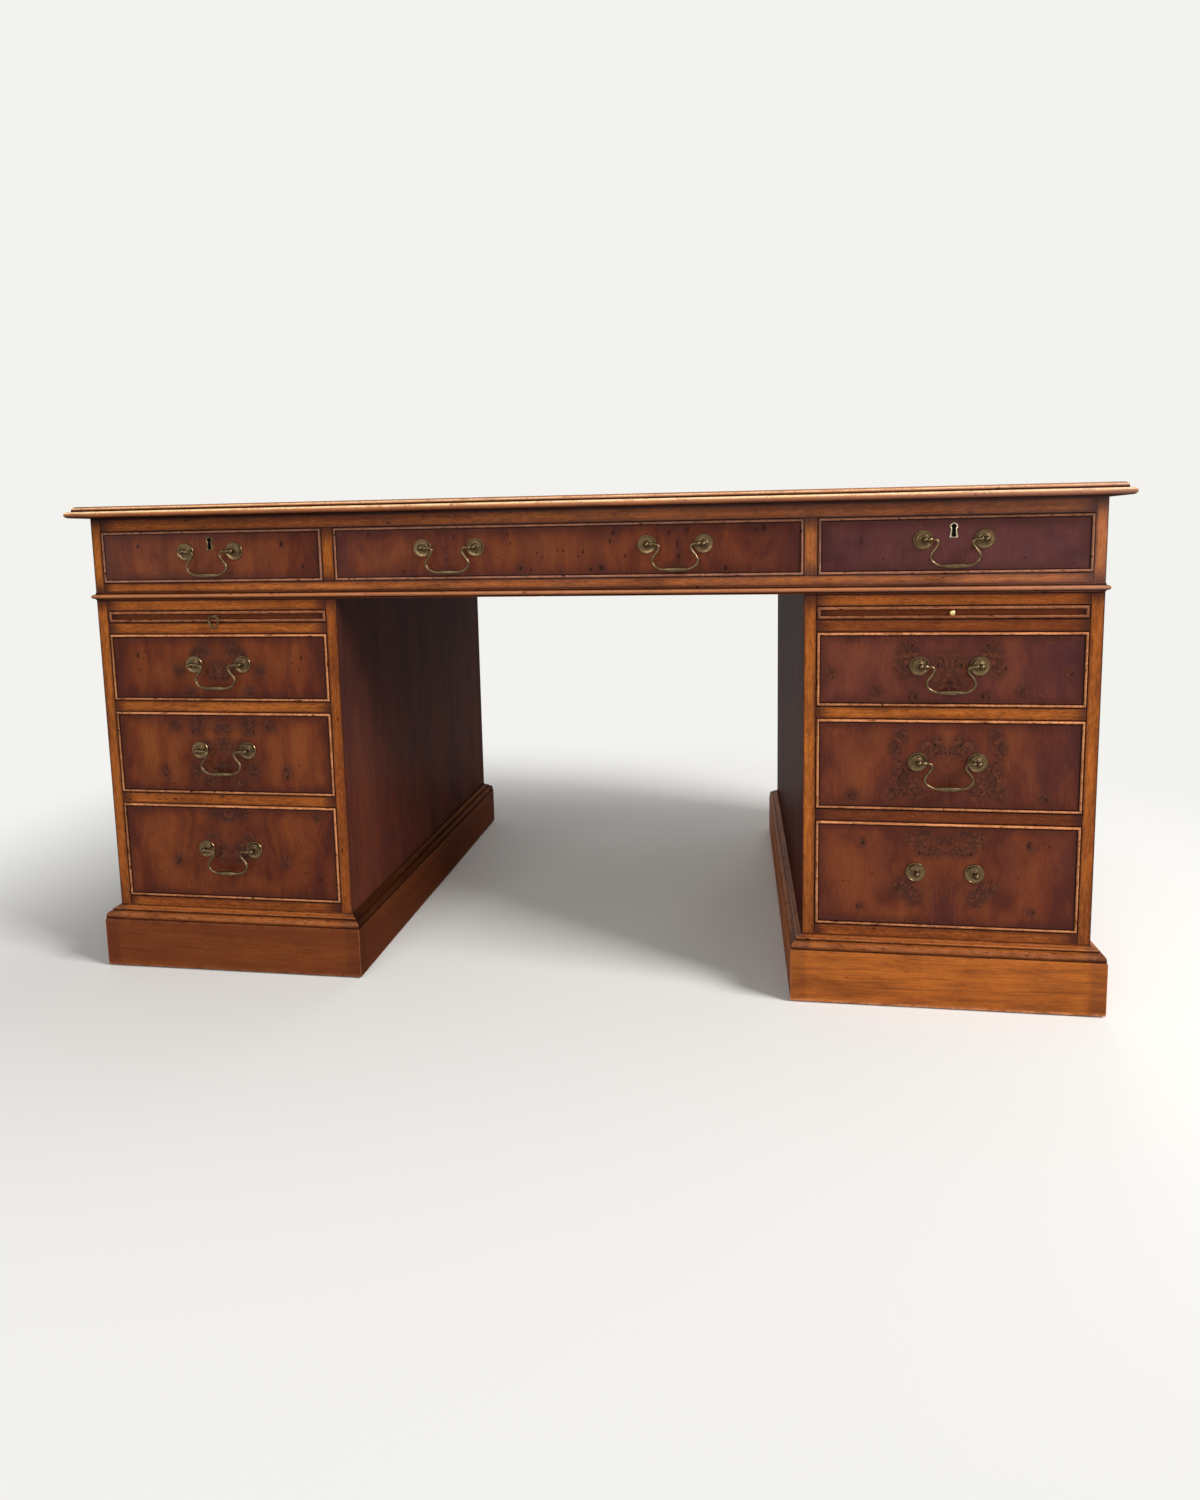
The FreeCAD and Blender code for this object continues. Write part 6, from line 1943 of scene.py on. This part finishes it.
def lay_floor(stage):
    """Pale floor that keeps the shadow round the desk and fades into the backdrop."""
    reach = 30.0
    mesh = plain_mesh("floor", [(-reach, -reach, 0), (reach, -reach, 0), (reach, reach, 0),
                                (-reach, reach, 0)], faces=[[0, 1, 2, 3]])
    floor = bpy.data.objects.new("floor", mesh)
    bpy.context.scene.collection.objects.link(floor)
    net = new_material("floor_paint")
    surface(net, {"Base Color": (*stage.paint, 1), "Roughness": 0.9,
                  "Specular IOR Level": 0.0})
    x, y, _ = net.split(net.point())
    high = CAD_BOUNDS[1]
    beside = [net.math("MAXIMUM", net.math("ABSOLUTE", value) - edge, 0)
              for value, edge in ((x, high.x), (y, high.y))]
    away = net.math("SQRT", beside[0] * beside[0] + beside[1] * beside[1])
    shader, output = (net.tree.nodes[name] for name in ("Principled BSDF", "Material Output"))
    mixed = net.make("ShaderNodeMixShader", {
        0: net.ease(away, 0.0, stage.shadow_reach) * seen_directly(net),
        1: Field(net, shader.outputs[0]),
        2: net.make("ShaderNodeEmission", {0: (*stage.backdrop, 1)})[0]})[0]
    net.feed(output.inputs[0], mixed)
    mesh.materials.append(MATERIALS["floor_paint"])


def light_world(scene, stage):
    """Even light all round, with the backdrop where the camera sees it."""
    scene.world = bpy.data.worlds.new("studio")
    scene.world.use_nodes = True
    net = Net(scene.world.node_tree)
    net.tree.nodes.clear()
    mixed = net.make("ShaderNodeMixShader", {
        0: seen_directly(net),
        1: net.make("ShaderNodeBackground", {0: (1, 1, 1, 1), 1: stage.sky})[0],
        2: net.make("ShaderNodeBackground", {0: (*stage.backdrop, 1)})[0]})[0]
    net.make("ShaderNodeOutputWorld", {0: mixed})


def hang_lamp(name, place, target, size, power):
    """Square lamp at a place, turned towards its target."""
    light = bpy.data.lights.new(name, "AREA")
    light.shape = "SQUARE"
    light.size = size
    light.energy = power
    lamp = bpy.data.objects.new(name, light)
    lamp.location = place
    lamp.rotation_euler = (Vector(target) - Vector(place)).to_track_quat("-Z", "Y").to_euler()
    bpy.context.scene.collection.objects.link(lamp)


def place_camera(scene, stage):
    """Turns the camera by yaw, pitch and roll and places it."""
    ahead = Vector((math.sin(stage.yaw) * math.cos(stage.pitch),
                    math.cos(stage.yaw) * math.cos(stage.pitch), math.sin(stage.pitch)))
    level = Vector((math.cos(stage.yaw), -math.sin(stage.yaw), 0))
    upright = level.cross(ahead)
    right = level * math.cos(stage.roll) + upright * math.sin(stage.roll)
    up = upright * math.cos(stage.roll) - level * math.sin(stage.roll)
    lens = bpy.data.cameras.new("camera")
    lens.sensor_width = 36.0
    lens.lens = stage.focal
    lens.shift_x = stage.shift_x
    lens.shift_y = stage.shift_y
    camera = bpy.data.objects.new("camera", lens)
    turn = Matrix((right, up, -ahead)).transposed().to_4x4()
    camera.matrix_world = Matrix.Translation(stage.eye) @ turn
    scene.collection.objects.link(camera)
    scene.camera = camera


class DESK_OT_stage(Operator):
    """Lay the floor and set the camera, the lamps and the even light"""
    bl_idname = "desk.stage"
    bl_label = "Stage"

    def execute(self, context):
        stage = context.scene.desk_stage
        lay_floor(stage)
        light_world(context.scene, stage)
        hang_lamp("key", (4.3, -1.7, 3.4), (0.0, 0.0, 0.4), 1.8, stage.key)
        hang_lamp("fill", (-1.0, -4.0, 2.3), (0.0, 0.0, 0.4), 2.0, stage.fill)
        hang_lamp("behind", (0.9, 3.8, 3.0), (0.0, 0.0, 0.3), 2.0, stage.behind)
        place_camera(context.scene, stage)
        context.scene.view_settings.view_transform = "Standard"
        return {"FINISHED"}


# ---------------------------------------------------------------- add-on
OPERATORS = (DESK_OT_finishes, DESK_OT_top, DESK_OT_leathers, DESK_OT_frieze,
             DESK_OT_pedestals, DESK_OT_plinths, DESK_OT_drawers, DESK_OT_slides,
             DESK_OT_handles, DESK_OT_pulls, DESK_OT_locks, DESK_OT_false_fronts,
             DESK_OT_doors, DESK_OT_shelves, DESK_OT_stage)
SETTINGS = {"desk_woods": DeskWoods, "desk_trims": DeskTrims, "desk_metals": DeskMetals,
            "desk_leather": DeskLeather, "desk_stage": DeskStage}


class DESK_PT_panel(Panel):
    """Sizes, colours and steps of the desk"""
    bl_idname = "DESK_PT_panel"
    bl_label = "Partners Desk"
    bl_space_type = "VIEW_3D"
    bl_region_type = "UI"
    bl_category = "Desk"

    def draw(self, context):
        for operator in OPERATORS:
            self.layout.operator(operator.bl_idname)
        for name, settings in SETTINGS.items():
            box = self.layout.box()
            for label in settings.__annotations__:
                box.prop(getattr(context.scene, name), label)


CLASSES = (*SETTINGS.values(), *OPERATORS, DESK_PT_panel)


def register():
    for item in CLASSES:
        bpy.utils.register_class(item)
    for name, settings in SETTINGS.items():
        setattr(bpy.types.Scene, name, PointerProperty(type=settings))


def unregister():
    for name in SETTINGS:
        delattr(bpy.types.Scene, name)
    for item in reversed(CLASSES):
        bpy.utils.unregister_class(item)


def main():
    register()
    for operator in OPERATORS:
        family, name = operator.bl_idname.split(".")
        getattr(getattr(bpy.ops, family), name)()


if __name__ == "__main__":
    main()
